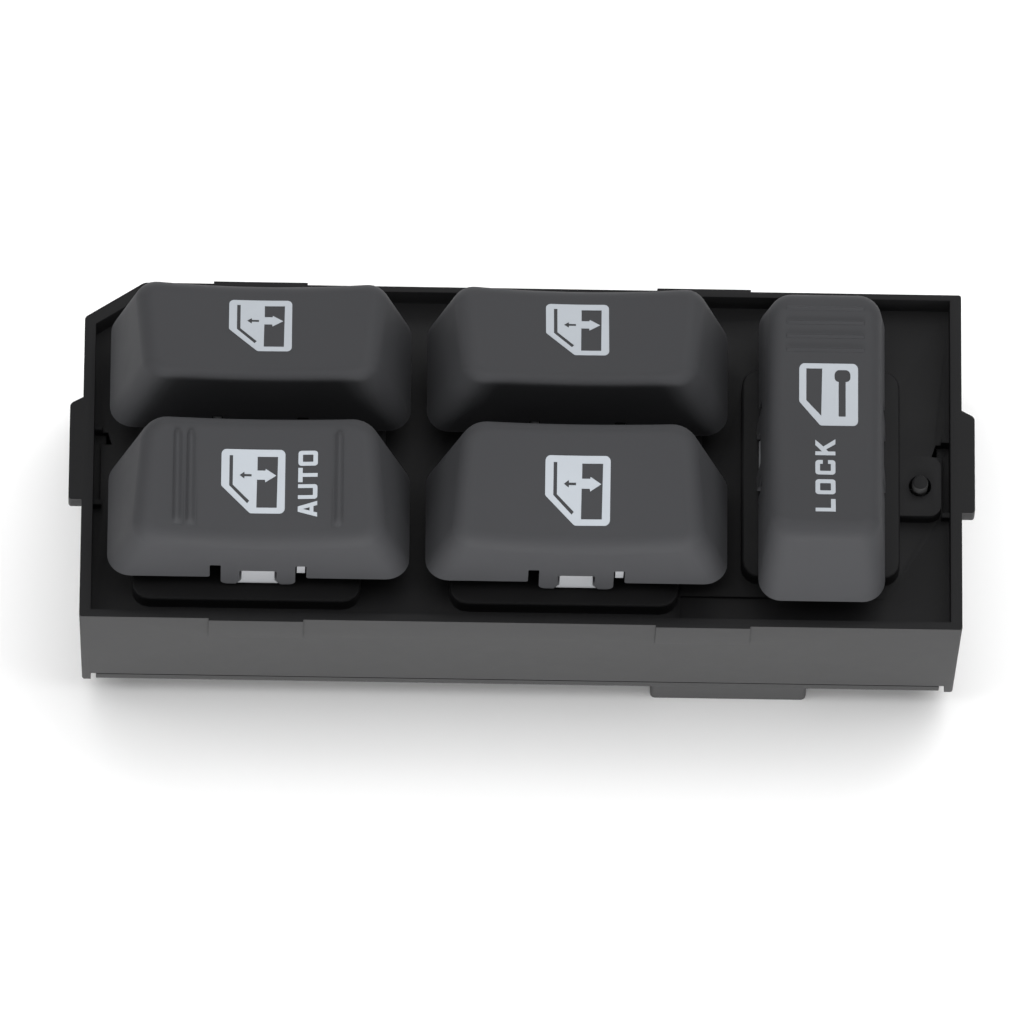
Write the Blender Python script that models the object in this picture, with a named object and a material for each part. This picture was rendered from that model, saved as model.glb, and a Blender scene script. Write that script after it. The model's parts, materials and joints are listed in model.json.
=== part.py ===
"""Master window switch for a car door: a tray housing with four window rockers and a lock rocker.

Metres, +Z up. X runs along the tray, Y from front to back. The origin is the middle of the
footprint, on the level of the connector shroud's lower lip.
"""

import math

import bmesh
import bpy
from mathutils import Matrix, Vector

# Rocker caps
CAP_LENGTH = 0.0438
CAP_WIDTH = 0.0184
CAP_WALL = 0.0013
CAP_SKIRT_RISE = 0.0020
CAP_CORNER = 0.0033
CAP_EDGE = 0.0022
CAP_END_TAPER = 0.30
HIGH_EDGE_RISE = 0.0203
LOW_EDGE_RISE = 0.0149
HIGH_EDGE_INSET = 0.0004
LOW_EDGE_INSET = 0.00016
HIGH_EDGE_DISH = 0.0009
LOW_EDGE_DISH = 0.0018
DISH_HALF_LENGTH = 0.0164
LOCK_EDGE_RISE = 0.0166
LOCK_EDGE_INSET = 0.0012
LOCK_DISH = 0.0015
LOCK_WIDTH = CAP_WIDTH

# Grip ridges on the caps
RIDGE_WIDTH = 0.0019
RIDGE_RISE = 0.0006
RIDGE_MARGIN = 0.0026
DRIVER_RIDGES = (-0.0119, -0.00995, 0.0115)
LOCK_RIDGE_WIDTH = 0.0007
LOCK_RIDGE_RISE = 0.0002
LOCK_RIDGE_PITCH = 0.00205
LOCK_RIDGE_COUNT = 4
LOCK_RIDGE_LENGTH = 0.0112
LOCK_RIDGE_END = 0.0024

# Snap tongues of the caps and lugs of the carriers
TONGUE_LENGTH = 0.0108
TONGUE_DROP = 0.0023
TONGUE_CHAMFER = 0.0012
TONGUE_SKIN = 0.00012
RELIEF_WIDTH = 0.0016
RELIEF_RISE = 0.0040
NOTCH_WIDTH = 0.0054
NOTCH_RISE = 0.0045
NOTCH_FLARE = 0.00055
NOTCH_CORNER = 0.0004
LUG_GAP = 0.0003
LUG_SET_BACK = 0.00015
LUG_LEAN = 0.4
CAP_RIB = 0.0012
CAP_RIB_PLACE = 0.0050
CAP_RIB_SINK = 0.0004

# Gaps between the rockers and the tray walls
LEFT_MARGIN = 0.00225
COLUMN_GAP = 0.0023
LOCK_GAP = 0.0045
RIGHT_MARGIN = 0.00965
FRONT_MARGIN = 0.0045
ROW_GAP = 0.0052
BACK_MARGIN = 0.0048
LOCK_END_GAP = 0.0021

# Tray walls and floor
END_WALL = 0.00165
FRONT_WALL = 0.0012
BACK_WALL = 0.0009
CORNER_WALL = 0.0018
WALL_DRAFT = 0.00036
WALL_HEIGHT = 0.0214
END_FOOT = 0.0022
TRAY_RECESS = 0.0039
FLOOR = 0.0015
CORNER_CUT_X = 0.0086
CORNER_CUT_Y = 0.0057
PLATFORM_RISE = 0.0028
PLATFORM_LENGTH = 0.0332
PLATFORM_BORDER = 0.0023
PLATFORM_SHIFT = -0.0017
PLATFORM_CORNER = 0.0026
PLATFORM_SKIN = 0.0015

# Snap lugs, pads and floor slots of the tray
SNAP_REACH = 0.0019
SNAP_LENGTH = 0.0163
SNAP_SLANT = 0.0010
SNAP_CENTRE = 0.0
SNAP_HEIGHT = 0.0025
SNAP_LEAD_IN = 0.0035
SNAP_LEAD_IN_FOOT = 0.1
SNAP_LEAD_IN_SPAN = 0.8
PAD_REACH = 0.00036
PAD_LENGTH = 0.0137
PAD_HEIGHT = 0.0060
PAD_CENTRES = (-0.0384, 0.0264)
SLOT_HEAD = 0.0043
SLOT_WIDTH = 0.0010
SLOT_LENGTH = 0.0113
SLOT_DEPTH = 0.0011
SLOT_HEAD_WIDTH = 0.0026
SLOT_HEAD_LENGTH = 0.0019
SLOT_HEAD_SLANT = 0.0006
SLOT_HOLE_FROM_WALL = 0.0018
SLOT_RIB_REACH = 0.0012
SLOT_RIB = 0.0008
SLOT_RIB_RISES = (0.0014, 0.0010)
CHANNEL_DEPTH = 0.0006
CHANNEL_WIDTH = 0.0052
CHANNEL_RAMP = 0.0100

# Peg that locates the base plate in the tray
PEG_RADIUS = 0.00115
PEG_HOLE_RADIUS = 0.00165
PEG_FROM_WALL = 0.0044
PEG_Y = -0.0033
PEG_TIP_DROP = 0.0001
PEG_TIP_CHAMFER = 0.00015
PEG_PAD_RISE = 0.0024
PEG_PAD_LENGTH = 0.0095
PEG_PAD_REACH = 0.0031
PEG_PAD_CORNER = 0.0017

# Rocker mechanism
PIVOT_RISE = 0.0025
MAX_TILT = 9.0
TRUNNION_RADIUS = 0.0015
TRUNNION_LENGTH = 0.0014
TRUNNION_PLAY = 0.0002
RUNNING_GAP = 0.0003
CHIMNEY_WALL = 0.0012
CHIMNEY_RISE = 0.0055
CHIMNEY_DROP = 0.0020
STEM_LENGTH = 0.0052
STEM_WIDTH = CAP_WIDTH * 0.2935
STEM_PLAY = 0.0005
STEM_REACH = 0.0115
SIDE_PLATE = 0.0013
SIDE_PLATE_TOP_HALF = 0.0075
SIDE_PLATE_FOOT_HALF = 0.0034
SIDE_PLATE_WAIST = 0.0005
CARRIER_ROOF_RISE = 0.0080
CARRIER_ROOF = 0.0015
KEY_GAP = 0.0002
KEY_HEIGHT = 0.0025
STEM_SKIN = 0.0010
BORE_RADIUS = STEM_WIDTH / 2 - STEM_SKIN
BORE_DEPTH = 0.0090
PLUNGER_PLAY = 0.0002
PLUNGER_LENGTH = 0.0055
PLUNGER_REACH = 0.0020
PLUNGER_DOME = 0.0008
SPRING_WIRE = 0.0004
SPRING_TURNS = 4
SPRING_STEPS = 10
SPRING_END_GAP = 0.00015
TOUCH_GAP = 0.00015

# Contacts
SEESAW_HALF = 0.0062
SEESAW_WIDTH = 0.0038
SEESAW_SHEET = 0.0004
SEESAW_BEND = 5.0
BUTTON_FROM_MIDDLE = 0.0052
BUTTON_RADIUS = 0.0007
BUTTON_HEIGHT = 0.00035
CONTACT_TRAVEL = 0.00033
CONTACT_SHEET = 0.0004
CONTACT_LENGTH = 0.0022
CONTACT_WIDTH = 0.0030
FULCRUM_HEIGHT = 0.0028
FULCRUM_LENGTH = 0.0024
CHEEK_RISE = 0.0010
CHEEK_PLAY = 0.00025

# Circuit board, base plate and connector
BOARD = 0.0016
BOARD_EDGE_GAP = 0.0006
SEAT_GAP = 0.0003
BASE_PLATE = 0.0015
BASE_EDGE_GAP = 0.0004
POST_RADIUS = 0.0022
SHROUD_DROP = 0.0051
SHROUD_LENGTH = 0.0228
SHROUD_DEPTH = 0.0150
SHROUD_LEFT = 0.0195
SHROUD_SET_BACK = 0.0004
SHROUD_WALL = 0.0014
SHROUD_CORNER = 0.0007
SOCKET_ROOF = 0.0015
PIN_COLUMNS = 4
PIN_PITCH = 0.0044
PIN_ROW_SPACING = 0.0072
PIN_THICKNESS = 0.0007
PIN_WIDTH = 0.0012
PIN_PLAY = 0.0003
PIN_TIP_INSET = 0.0024
PIN_ABOVE_BOARD = 0.0010

# Segments of a full circle, reach of a cut past its face, and the least rise of a face's normal
# that counts as upward
ROUND = 16
OVERRUN = 0.0010
UPWARD = 0.7

# Overall sizes that follow from the parts
COLUMNS_LENGTH = 2 * CAP_LENGTH + COLUMN_GAP
TRAY_LENGTH = 2 * END_WALL + LEFT_MARGIN + COLUMNS_LENGTH + LOCK_GAP + LOCK_WIDTH + RIGHT_MARGIN
TRAY_DEPTH = FRONT_WALL + FRONT_MARGIN + 2 * CAP_WIDTH + ROW_GAP + BACK_MARGIN + BACK_WALL
HALF_LENGTH = TRAY_LENGTH / 2
HALF_DEPTH = TRAY_DEPTH / 2
COLUMN_1 = -HALF_LENGTH + END_WALL + LEFT_MARGIN + CAP_LENGTH / 2
COLUMN_2 = COLUMN_1 + CAP_LENGTH + COLUMN_GAP
LOCK_X = COLUMN_2 + CAP_LENGTH / 2 + LOCK_GAP + LOCK_WIDTH / 2
FRONT_ROW = -HALF_DEPTH + FRONT_WALL + FRONT_MARGIN + CAP_WIDTH / 2
BACK_ROW = FRONT_ROW + CAP_WIDTH + ROW_GAP
LOCK_LENGTH = TRAY_DEPTH - 2 * (FRONT_WALL + LOCK_END_GAP)

# Levels
RIM = SHROUD_DROP + BASE_PLATE + SEAT_GAP + WALL_HEIGHT
FLOOR_TOP = RIM - TRAY_RECESS
FLOOR_UNDER = FLOOR_TOP - FLOOR
PLATFORM_TOP = FLOOR_TOP + PLATFORM_RISE
WALL_FOOT = RIM - WALL_HEIGHT
BASE_TOP = WALL_FOOT - SEAT_GAP
BASE_UNDER = BASE_TOP - BASE_PLATE
PIVOT = RIM + PIVOT_RISE
# Levels below are measured from the pivot, downwards negative
PLUNGER_TIP = -STEM_REACH - PLUNGER_REACH
SEESAW_TOP = PLUNGER_TIP - TOUCH_GAP
SEESAW_AXIS = SEESAW_TOP - SEESAW_SHEET
WEB_TOP = SEESAW_AXIS - TOUCH_GAP
BOARD_TOP = PIVOT + WEB_TOP - FULCRUM_HEIGHT
BOARD_UNDER = BOARD_TOP - BOARD
SEAT_LEVEL = BOARD_UNDER - SEAT_GAP

# Widths across a rocker, measured from its middle line
CHIMNEY_IN = STEM_WIDTH / 2 + STEM_PLAY
CHIMNEY_OUT = CHIMNEY_IN + CHIMNEY_WALL
CHIMNEY_BORE_HALF = STEM_LENGTH / 2 + STEM_REACH * math.sin(math.radians(MAX_TILT)) + STEM_PLAY
CHIMNEY_HALF = CHIMNEY_BORE_HALF + CHIMNEY_WALL
PLATE_IN = CHIMNEY_OUT + RUNNING_GAP
PLATE_OUT = PLATE_IN + SIDE_PLATE

# Each rocker: name, place of its pivot, turn about Z in degrees
ROCKERS = (
    ("driver", COLUMN_1, FRONT_ROW, 0),
    ("passenger", COLUMN_2, FRONT_ROW, 0),
    ("rear_left", COLUMN_1, BACK_ROW, 180),
    ("rear_right", COLUMN_2, BACK_ROW, 180),
    ("lock", LOCK_X, 0.0, 90),
)

CAP_GREY = ("cap_grey", (0.075, 0.075, 0.080), 0.55, 0.0)
TRAY_BLACK = ("tray_black", (0.012, 0.012, 0.013), 0.50, 0.0)
CARRIER_WHITE = ("carrier_white", (0.62, 0.62, 0.60), 0.45, 0.0)
BOARD_GREEN = ("board_green", (0.02, 0.11, 0.05), 0.45, 0.0)
BRASS = ("contact_brass", (0.71, 0.53, 0.24), 0.30, 1.0)
SPRING_STEEL = ("spring_steel", (0.60, 0.60, 0.60), 0.28, 1.0)
PLUNGER_WHITE = ("plunger_white", (0.72, 0.71, 0.67), 0.40, 0.0)


def clear_scene():
    for obj in list(bpy.data.objects):
        bpy.data.objects.remove(obj)


def material(finish):
    name, colour, roughness, metallic = finish
    found = bpy.data.materials.get(name)
    if found:
        return found
    made = bpy.data.materials.new(name)
    made.use_nodes = True
    shader = made.node_tree.nodes["Principled BSDF"]
    shader.inputs["Base Color"].default_value = (*colour, 1.0)
    shader.inputs["Roughness"].default_value = roughness
    shader.inputs["Metallic"].default_value = metallic
    return made


def add_object(name, bm, finish, place=None):
    """Makes an object from bm, with its origin at place's origin."""
    mesh = bpy.data.meshes.new(name)
    bm.to_mesh(mesh)
    bm.free()
    mesh.materials.append(material(finish))
    obj = bpy.data.objects.new(name, mesh)
    obj.matrix_world = place or Matrix()
    bpy.context.collection.objects.link(obj)
    return obj


def prism(outline, low, high):
    """Extrudes a plan outline, anticlockwise seen from above, from low to high."""
    bm = bmesh.new()
    face = bm.faces.new([bm.verts.new((x, y, low)) for x, y in outline])
    face.normal_flip()
    side = bmesh.ops.extrude_face_region(bm, geom=[face], use_keep_orig=True)
    top = [item for item in side["geom"] if isinstance(item, bmesh.types.BMVert)]
    bmesh.ops.translate(bm, verts=top, vec=(0, 0, high - low))
    bmesh.ops.recalc_face_normals(bm, faces=bm.faces)
    return bm


def rectangle(x0, x1, y0, y1):
    return [(x0, y0), (x1, y0), (x1, y1), (x0, y1)]


def box(x0, x1, y0, y1, z0, z1):
    return prism(rectangle(x0, x1, y0, y1), z0, z1)


def round_uprights(bm, radius, segments=4):
    uprights = [e for e in bm.edges if abs(e.verts[0].co.z - e.verts[1].co.z) > radius / 10]
    bmesh.ops.bevel(
        bm, geom=uprights, offset=radius, segments=segments, profile=0.5, affect="EDGES", material=-1
    )
    return bm


def cylinder(radius, low, high, segments=ROUND):
    bm = bmesh.new()
    middle = Matrix.Translation((0, 0, (low + high) / 2))
    bmesh.ops.create_cone(
        bm,
        cap_ends=True,
        segments=segments,
        radius1=radius,
        radius2=radius,
        depth=high - low,
        matrix=middle,
    )
    return bm


def sideways_prism(outline, low, high):
    """Extrudes an outline given as (x, z) along Y, from low to high."""
    bm = prism([(x, -z) for x, z in reversed(outline)], low, high)
    bmesh.ops.rotate(bm, verts=bm.verts, matrix=Matrix.Rotation(math.radians(-90), 3, "X"))
    bmesh.ops.recalc_face_normals(bm, faces=bm.faces)
    return bm


def endways_prism(outline, low, high):
    """Extrudes an outline given as (y, z) along X, from low to high."""
    bm = bmesh.new()
    face = bm.faces.new([bm.verts.new((low, y, z)) for y, z in outline])
    side = bmesh.ops.extrude_face_region(bm, geom=[face], use_keep_orig=True)
    moved = [item for item in side["geom"] if isinstance(item, bmesh.types.BMVert)]
    bmesh.ops.translate(bm, verts=moved, vec=(high - low, 0, 0))
    bmesh.ops.recalc_face_normals(bm, faces=bm.faces)
    return bm


def gather(pieces):
    """Puts (bmesh, matrix) pairs that don't meet into one bmesh."""
    whole = bmesh.new()
    for piece, place in pieces:
        piece.transform(place)
        mesh = bpy.data.meshes.new("piece")
        piece.to_mesh(mesh)
        piece.free()
        whole.from_mesh(mesh)
        bpy.data.meshes.remove(mesh)
    return whole


def shape(target, operation, bm, name):
    """Adds a Boolean with bm, in the target's own space, as a hidden tool."""
    tool = add_object(f"{target.name}_{name}", bm, TRAY_BLACK, target.matrix_world)
    tool.hide_render = True
    tool.display_type = "WIRE"
    modifier = target.modifiers.new(name, "BOOLEAN")
    modifier.operation = operation
    modifier.solver = "EXACT"
    modifier.object = tool


def join(target, bm, name):
    shape(target, "UNION", bm, name)


def cut(target, bm, name):
    shape(target, "DIFFERENCE", bm, name)


def rocker_place(rocker, level=0.0):
    """The rocker's own frame: X along the cap, Y across it, Z up from level."""
    _, x, y, turn = rocker
    cosine = round(math.cos(math.radians(turn)))
    sine = round(math.sin(math.radians(turn)))
    return Matrix(((cosine, -sine, 0, x), (sine, cosine, 0, y), (0, 0, 1, level), (0, 0, 0, 1)))


def at_each_rocker(make, level=0.0):
    return gather([(make(), rocker_place(rocker, level)) for rocker in ROCKERS])


def tray_outline(end, front, back, corner):
    """The tray's plan outline, drawn in by an amount at its ends, front, back and cut corner."""
    right = HALF_LENGTH - end
    left = -right
    near = -HALF_DEPTH + front
    far = HALF_DEPTH - back
    along = Vector((CORNER_CUT_X, CORNER_CUT_Y)).normalized()
    inward = Vector((along.y, -along.x))
    start = Vector((-HALF_LENGTH, HALF_DEPTH - CORNER_CUT_Y)) + inward * corner
    rise = along.y / along.x
    left_y = start.y + (left - start.x) * rise
    far_x = start.x + (far - start.y) / rise
    return [(left, near), (right, near), (right, far), (far_x, far), (left, left_y)]


def draw_in_foot(bm, amount):
    """Moves the lowest points of a tray shape inwards, for the draft of its walls."""
    lowest = min(v.co.z for v in bm.verts)
    for v in bm.verts:
        if v.co.z < lowest + OVERRUN / 10:
            v.co.x -= math.copysign(amount, v.co.x)
            v.co.y -= math.copysign(amount, v.co.y)
    return bm


def snap_lug():
    """The lug on an end wall, at the right end: square above, with a lead-in slope below."""
    half = SNAP_LENGTH / 2
    root = -END_WALL / 2
    outline = [
        (root, -half),
        (SNAP_REACH, -half),
        (SNAP_REACH, half - SNAP_SLANT),
        (root, half + SNAP_SLANT / 2),
    ]
    bm = prism(outline, -SNAP_HEIGHT, 0)
    foot = [f for f in bm.faces if f.normal.z < -UPWARD]
    made = bmesh.ops.extrude_face_region(bm, geom=foot)
    moved = [item for item in made["geom"] if isinstance(item, bmesh.types.BMVert)]
    bmesh.ops.delete(bm, geom=foot, context="FACES_ONLY")
    for v in moved:
        v.co.z -= SNAP_LEAD_IN
        v.co.x = root + (v.co.x - root) * SNAP_LEAD_IN_FOOT
        v.co.y *= SNAP_LEAD_IN_SPAN
    bmesh.ops.recalc_face_normals(bm, faces=bm.faces)
    return bm


def snap_lugs():
    right = Matrix.Translation((HALF_LENGTH, SNAP_CENTRE, RIM))
    left = Matrix.Translation((-HALF_LENGTH, SNAP_CENTRE, RIM)) @ Matrix.Scale(-1, 4, (1, 0, 0))
    whole = gather([(snap_lug(), right), (snap_lug(), left)])
    bmesh.ops.recalc_face_normals(whole, faces=whole.faces)
    return whole


def wall_pads():
    depth = PAD_REACH + FRONT_WALL / 2
    pieces = []
    for x in PAD_CENTRES:
        for side in (-1, 1):
            outer = side * (HALF_DEPTH + PAD_REACH)
            inner = outer - side * depth
            pad = box(-PAD_LENGTH / 2, PAD_LENGTH / 2, min(inner, outer), max(inner, outer), -PAD_HEIGHT, 0)
            pieces.append((pad, Matrix.Translation((x, 0, RIM))))
    return gather(pieces)


def at_each_end(make):
    """A piece made for the right end of the tray, and its mirror image at the left end."""
    mirrored = Matrix.Scale(-1, 4, (1, 0, 0))
    pair = gather([(make(), Matrix()), (make(), mirrored)])
    bmesh.ops.recalc_face_normals(pair, faces=pair.faces)
    return pair


def floor_slot():
    """The groove beside the right end wall, with its wider head towards the back."""
    wall = HALF_LENGTH - END_WALL
    foot = SLOT_HEAD - SLOT_LENGTH
    neck = SLOT_HEAD - SLOT_HEAD_LENGTH
    outline = [
        (wall - SLOT_WIDTH, foot),
        (wall, foot),
        (wall, SLOT_HEAD),
        (wall - SLOT_HEAD_WIDTH + SLOT_HEAD_SLANT, SLOT_HEAD),
        (wall - SLOT_HEAD_WIDTH, neck),
        (wall - SLOT_WIDTH, neck),
    ]
    return prism(outline, FLOOR_TOP - SLOT_DEPTH, FLOOR_TOP + OVERRUN)


def slot_hole():
    """The part of the groove's head that goes through the floor."""
    wall = HALF_LENGTH - END_WALL
    neck = SLOT_HEAD - SLOT_HEAD_LENGTH
    outline = [
        (wall - SLOT_HEAD_WIDTH, neck),
        (wall - SLOT_HOLE_FROM_WALL, neck),
        (wall - SLOT_HOLE_FROM_WALL, SLOT_HEAD),
        (wall - SLOT_HEAD_WIDTH + SLOT_HEAD_SLANT, SLOT_HEAD),
    ]
    return prism(outline, FLOOR_UNDER - OVERRUN, FLOOR_TOP - SLOT_DEPTH / 2)


def slot_ribs():
    """The low ribs against the right end wall, before and behind the groove."""
    wall = HALF_LENGTH - END_WALL
    places = (SLOT_HEAD - SLOT_LENGTH - SLOT_RIB, SLOT_HEAD)
    pieces = []
    for y, rise in zip(places, SLOT_RIB_RISES):
        rib = box(
            wall - SLOT_RIB_REACH,
            wall + END_WALL / 2,
            y,
            y + SLOT_RIB,
            FLOOR_TOP - FLOOR / 2,
            FLOOR_TOP + rise,
        )
        pieces.append((rib, Matrix()))
    return gather(pieces)


def platform(length, width, corner, low, high):
    bm = box(
        PLATFORM_SHIFT - length / 2, PLATFORM_SHIFT + length / 2, -width / 2, width / 2, low, high
    )
    return round_uprights(bm, corner)


def peg_place():
    return HALF_LENGTH - END_WALL - PEG_FROM_WALL, PEG_Y


def peg_pad(low, high):
    x, y = peg_place()
    half = PEG_PAD_LENGTH / 2
    bm = box(LOCK_X + LOCK_WIDTH / 2, x + PEG_PAD_REACH, y - half, y + half, low, high)
    return round_uprights(bm, PEG_PAD_CORNER)


def make_housing():
    outer = prism(tray_outline(0, 0, 0, 0), WALL_FOOT - END_FOOT, RIM)
    housing = add_object("housing", draw_in_foot(outer, WALL_DRAFT), TRAY_BLACK)

    end = END_WALL + WALL_DRAFT
    below = WALL_FOOT - END_FOOT - OVERRUN
    cavity = tray_outline(end, FRONT_WALL + WALL_DRAFT, BACK_WALL + WALL_DRAFT, CORNER_WALL)
    cut(housing, prism(cavity, below, FLOOR_UNDER), "cavity")
    inner_end = HALF_LENGTH - END_WALL
    step = rectangle(-inner_end, inner_end, -HALF_DEPTH - OVERRUN, HALF_DEPTH + OVERRUN)
    cut(housing, prism(step, below, WALL_FOOT), "foot_step")
    recess = tray_outline(END_WALL, FRONT_WALL, BACK_WALL, CORNER_WALL)
    cut(housing, prism(recess, FLOOR_TOP, RIM + OVERRUN), "recess")

    channel_front = -HALF_DEPTH + FRONT_WALL
    channel_left = COLUMN_2 + CAP_LENGTH / 2 - CAP_CORNER * 2
    channel = [
        (channel_left, FLOOR_TOP - CHANNEL_DEPTH),
        (LOCK_X, FLOOR_TOP - CHANNEL_DEPTH),
        (LOCK_X + CHANNEL_RAMP, FLOOR_TOP),
        (LOCK_X + CHANNEL_RAMP, FLOOR_TOP + OVERRUN),
        (channel_left, FLOOR_TOP + OVERRUN),
    ]
    cut(housing, sideways_prism(channel, channel_front, channel_front + CHANNEL_WIDTH), "channel")

    width = CAP_WIDTH + 2 * PLATFORM_BORDER
    middle = FLOOR_TOP - FLOOR / 2
    raised = at_each_rocker(lambda: platform(PLATFORM_LENGTH, width, PLATFORM_CORNER, middle, PLATFORM_TOP))
    join(housing, raised, "platforms")
    inside = 2 * PLATFORM_SKIN
    pockets = at_each_rocker(
        lambda: platform(
            PLATFORM_LENGTH - inside,
            width - inside,
            PLATFORM_CORNER / 2,
            FLOOR_UNDER - OVERRUN,
            PLATFORM_TOP - PLATFORM_SKIN,
        )
    )
    cut(housing, pockets, "pockets")
    join(housing, peg_pad(middle, FLOOR_TOP + PEG_PAD_RISE), "peg_pad")

    chimneys = at_each_rocker(
        lambda: box(
            -CHIMNEY_HALF,
            CHIMNEY_HALF,
            -CHIMNEY_OUT,
            CHIMNEY_OUT,
            FLOOR_UNDER - CHIMNEY_DROP,
            RIM + CHIMNEY_RISE,
        )
    )
    join(housing, chimneys, "chimneys")
    bores = at_each_rocker(
        lambda: box(
            -CHIMNEY_BORE_HALF,
            CHIMNEY_BORE_HALF,
            -CHIMNEY_IN,
            CHIMNEY_IN,
            FLOOR_UNDER - CHIMNEY_DROP - OVERRUN,
            RIM + CHIMNEY_RISE + OVERRUN,
        )
    )
    cut(housing, bores, "chimney_bores")
    join(housing, at_each_rocker(trunnions, PIVOT), "trunnions")

    x, y = peg_place()
    hole = cylinder(PEG_HOLE_RADIUS, FLOOR_UNDER - OVERRUN, FLOOR_TOP + PEG_PAD_RISE + OVERRUN)
    hole.transform(Matrix.Translation((x, y, 0)))
    cut(housing, hole, "peg_hole")
    cut(housing, at_each_end(floor_slot), "slots")
    cut(housing, at_each_end(slot_hole), "slot_holes")
    join(housing, at_each_end(slot_ribs), "slot_ribs")
    join(housing, snap_lugs(), "snap_lugs")
    join(housing, wall_pads(), "pads")


def trunnions():
    """The two pins of a chimney, one each side, around the pivot."""
    start = CHIMNEY_OUT - CHIMNEY_WALL / 2
    end = CHIMNEY_OUT + TRUNNION_LENGTH
    pieces = []
    for side in (-1, 1):
        pin = cylinder(TRUNNION_RADIUS, start, end)
        pieces.append((pin, Matrix.Rotation(math.radians(-90 * side), 4, "X")))
    return gather(pieces)


def pin_places():
    left = SHROUD_LEFT + SHROUD_LENGTH / 2 - PIN_PITCH * (PIN_COLUMNS - 1) / 2
    middle = shroud_front() + SHROUD_DEPTH / 2
    rows = (middle - PIN_ROW_SPACING / 2, middle + PIN_ROW_SPACING / 2)
    return [(left + column * PIN_PITCH, y) for y in rows for column in range(PIN_COLUMNS)]


def shroud_front():
    return -HALF_DEPTH + WALL_DRAFT + SHROUD_SET_BACK


def pin_slots(low, high):
    half_width = PIN_WIDTH / 2 + PIN_PLAY
    half_thickness = PIN_THICKNESS / 2 + PIN_PLAY
    return gather(
        [
            (
                box(-half_width, half_width, -half_thickness, half_thickness, low, high),
                Matrix.Translation((x, y, 0)),
            )
            for x, y in pin_places()
        ]
    )


def post_places():
    """Posts under the board, near its corners and its middle, clear of the connector."""
    x = HALF_LENGTH - END_WALL - 2 * PEG_FROM_WALL - POST_RADIUS
    y = HALF_DEPTH - CORNER_CUT_Y - 2 * POST_RADIUS
    return [(-x, -y), (-x, y), (0, y), (0, -y), (x, y), (x, -y)]


def make_base_plate():
    edge = END_WALL + WALL_DRAFT + BASE_EDGE_GAP
    outline = tray_outline(edge, WALL_DRAFT, WALL_DRAFT, WALL_DRAFT)
    plate = add_object("base_plate", prism(outline, BASE_UNDER, BASE_TOP), TRAY_BLACK)

    front = shroud_front()
    plan = rectangle(SHROUD_LEFT, SHROUD_LEFT + SHROUD_LENGTH, front, front + SHROUD_DEPTH)
    block = prism(plan, 0, BASE_TOP - BASE_PLATE / 2)
    join(plate, round_uprights(block, SHROUD_CORNER, 3), "shroud")
    inset = FRONT_WALL + BASE_EDGE_GAP
    tower = box(
        SHROUD_LEFT,
        SHROUD_LEFT + SHROUD_LENGTH,
        front + inset,
        front + SHROUD_DEPTH,
        BASE_TOP - BASE_PLATE / 2,
        SEAT_LEVEL,
    )
    join(plate, tower, "tower")
    wall = SHROUD_WALL + inset
    socket = box(
        SHROUD_LEFT + SHROUD_WALL,
        SHROUD_LEFT + SHROUD_LENGTH - SHROUD_WALL,
        front + wall,
        front + SHROUD_DEPTH - SHROUD_WALL,
        -OVERRUN,
        SEAT_LEVEL - SOCKET_ROOF,
    )
    cut(plate, socket, "socket")
    cut(plate, pin_slots(SEAT_LEVEL - SOCKET_ROOF - OVERRUN, SEAT_LEVEL + OVERRUN), "pin_slots")

    posts = [
        (cylinder(POST_RADIUS, BASE_TOP - BASE_PLATE / 2, SEAT_LEVEL, 12), Matrix.Translation((x, y, 0)))
        for x, y in post_places()
    ]
    join(plate, gather(posts), "posts")

    x, y = peg_place()
    peg = cylinder(PEG_RADIUS, BASE_TOP - BASE_PLATE / 2, RIM - PEG_TIP_DROP)
    tip_level = RIM - PEG_TIP_DROP - OVERRUN / 10
    rim_edges = [e for e in peg.edges if min(v.co.z for v in e.verts) > tip_level]
    bmesh.ops.bevel(
        peg, geom=rim_edges, offset=PEG_TIP_CHAMFER, segments=1, profile=0.5, affect="EDGES", material=-1
    )
    peg.transform(Matrix.Translation((x, y, 0)))
    join(plate, peg, "peg")


def make_board():
    inset = WALL_DRAFT + BOARD_EDGE_GAP
    left = END_WALL + inset
    outline = tray_outline(left, FRONT_WALL + inset, BACK_WALL + inset, CORNER_WALL + inset)
    board_right = peg_place()[0] - PEG_RADIUS - BOARD_EDGE_GAP
    outline = [(min(x, board_right), y) for x, y in outline]
    board = add_object("circuit_board", prism(outline, BOARD_UNDER, BOARD_TOP), BOARD_GREEN)
    cut(board, pin_slots(BOARD_UNDER - OVERRUN, BOARD_TOP + OVERRUN), "pin_holes")


def make_pins():
    top = BOARD_TOP + PIN_ABOVE_BOARD
    for number, (x, y) in enumerate(pin_places(), 1):
        bm = box(-PIN_WIDTH / 2, PIN_WIDTH / 2, -PIN_THICKNESS / 2, PIN_THICKNESS / 2, PIN_TIP_INSET, top)
        tip = [v for v in bm.verts if v.co.z < PIN_TIP_INSET + OVERRUN / 10]
        point = [e for e in bm.edges if e.verts[0] in tip and e.verts[1] in tip]
        bmesh.ops.bevel(
            bm, geom=point, offset=PIN_THICKNESS / 4, segments=1, profile=0.5, affect="EDGES", material=-1
        )
        add_object(f"connector_pin_{number}", bm, BRASS, Matrix.Translation((x, y, 0)))


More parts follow.
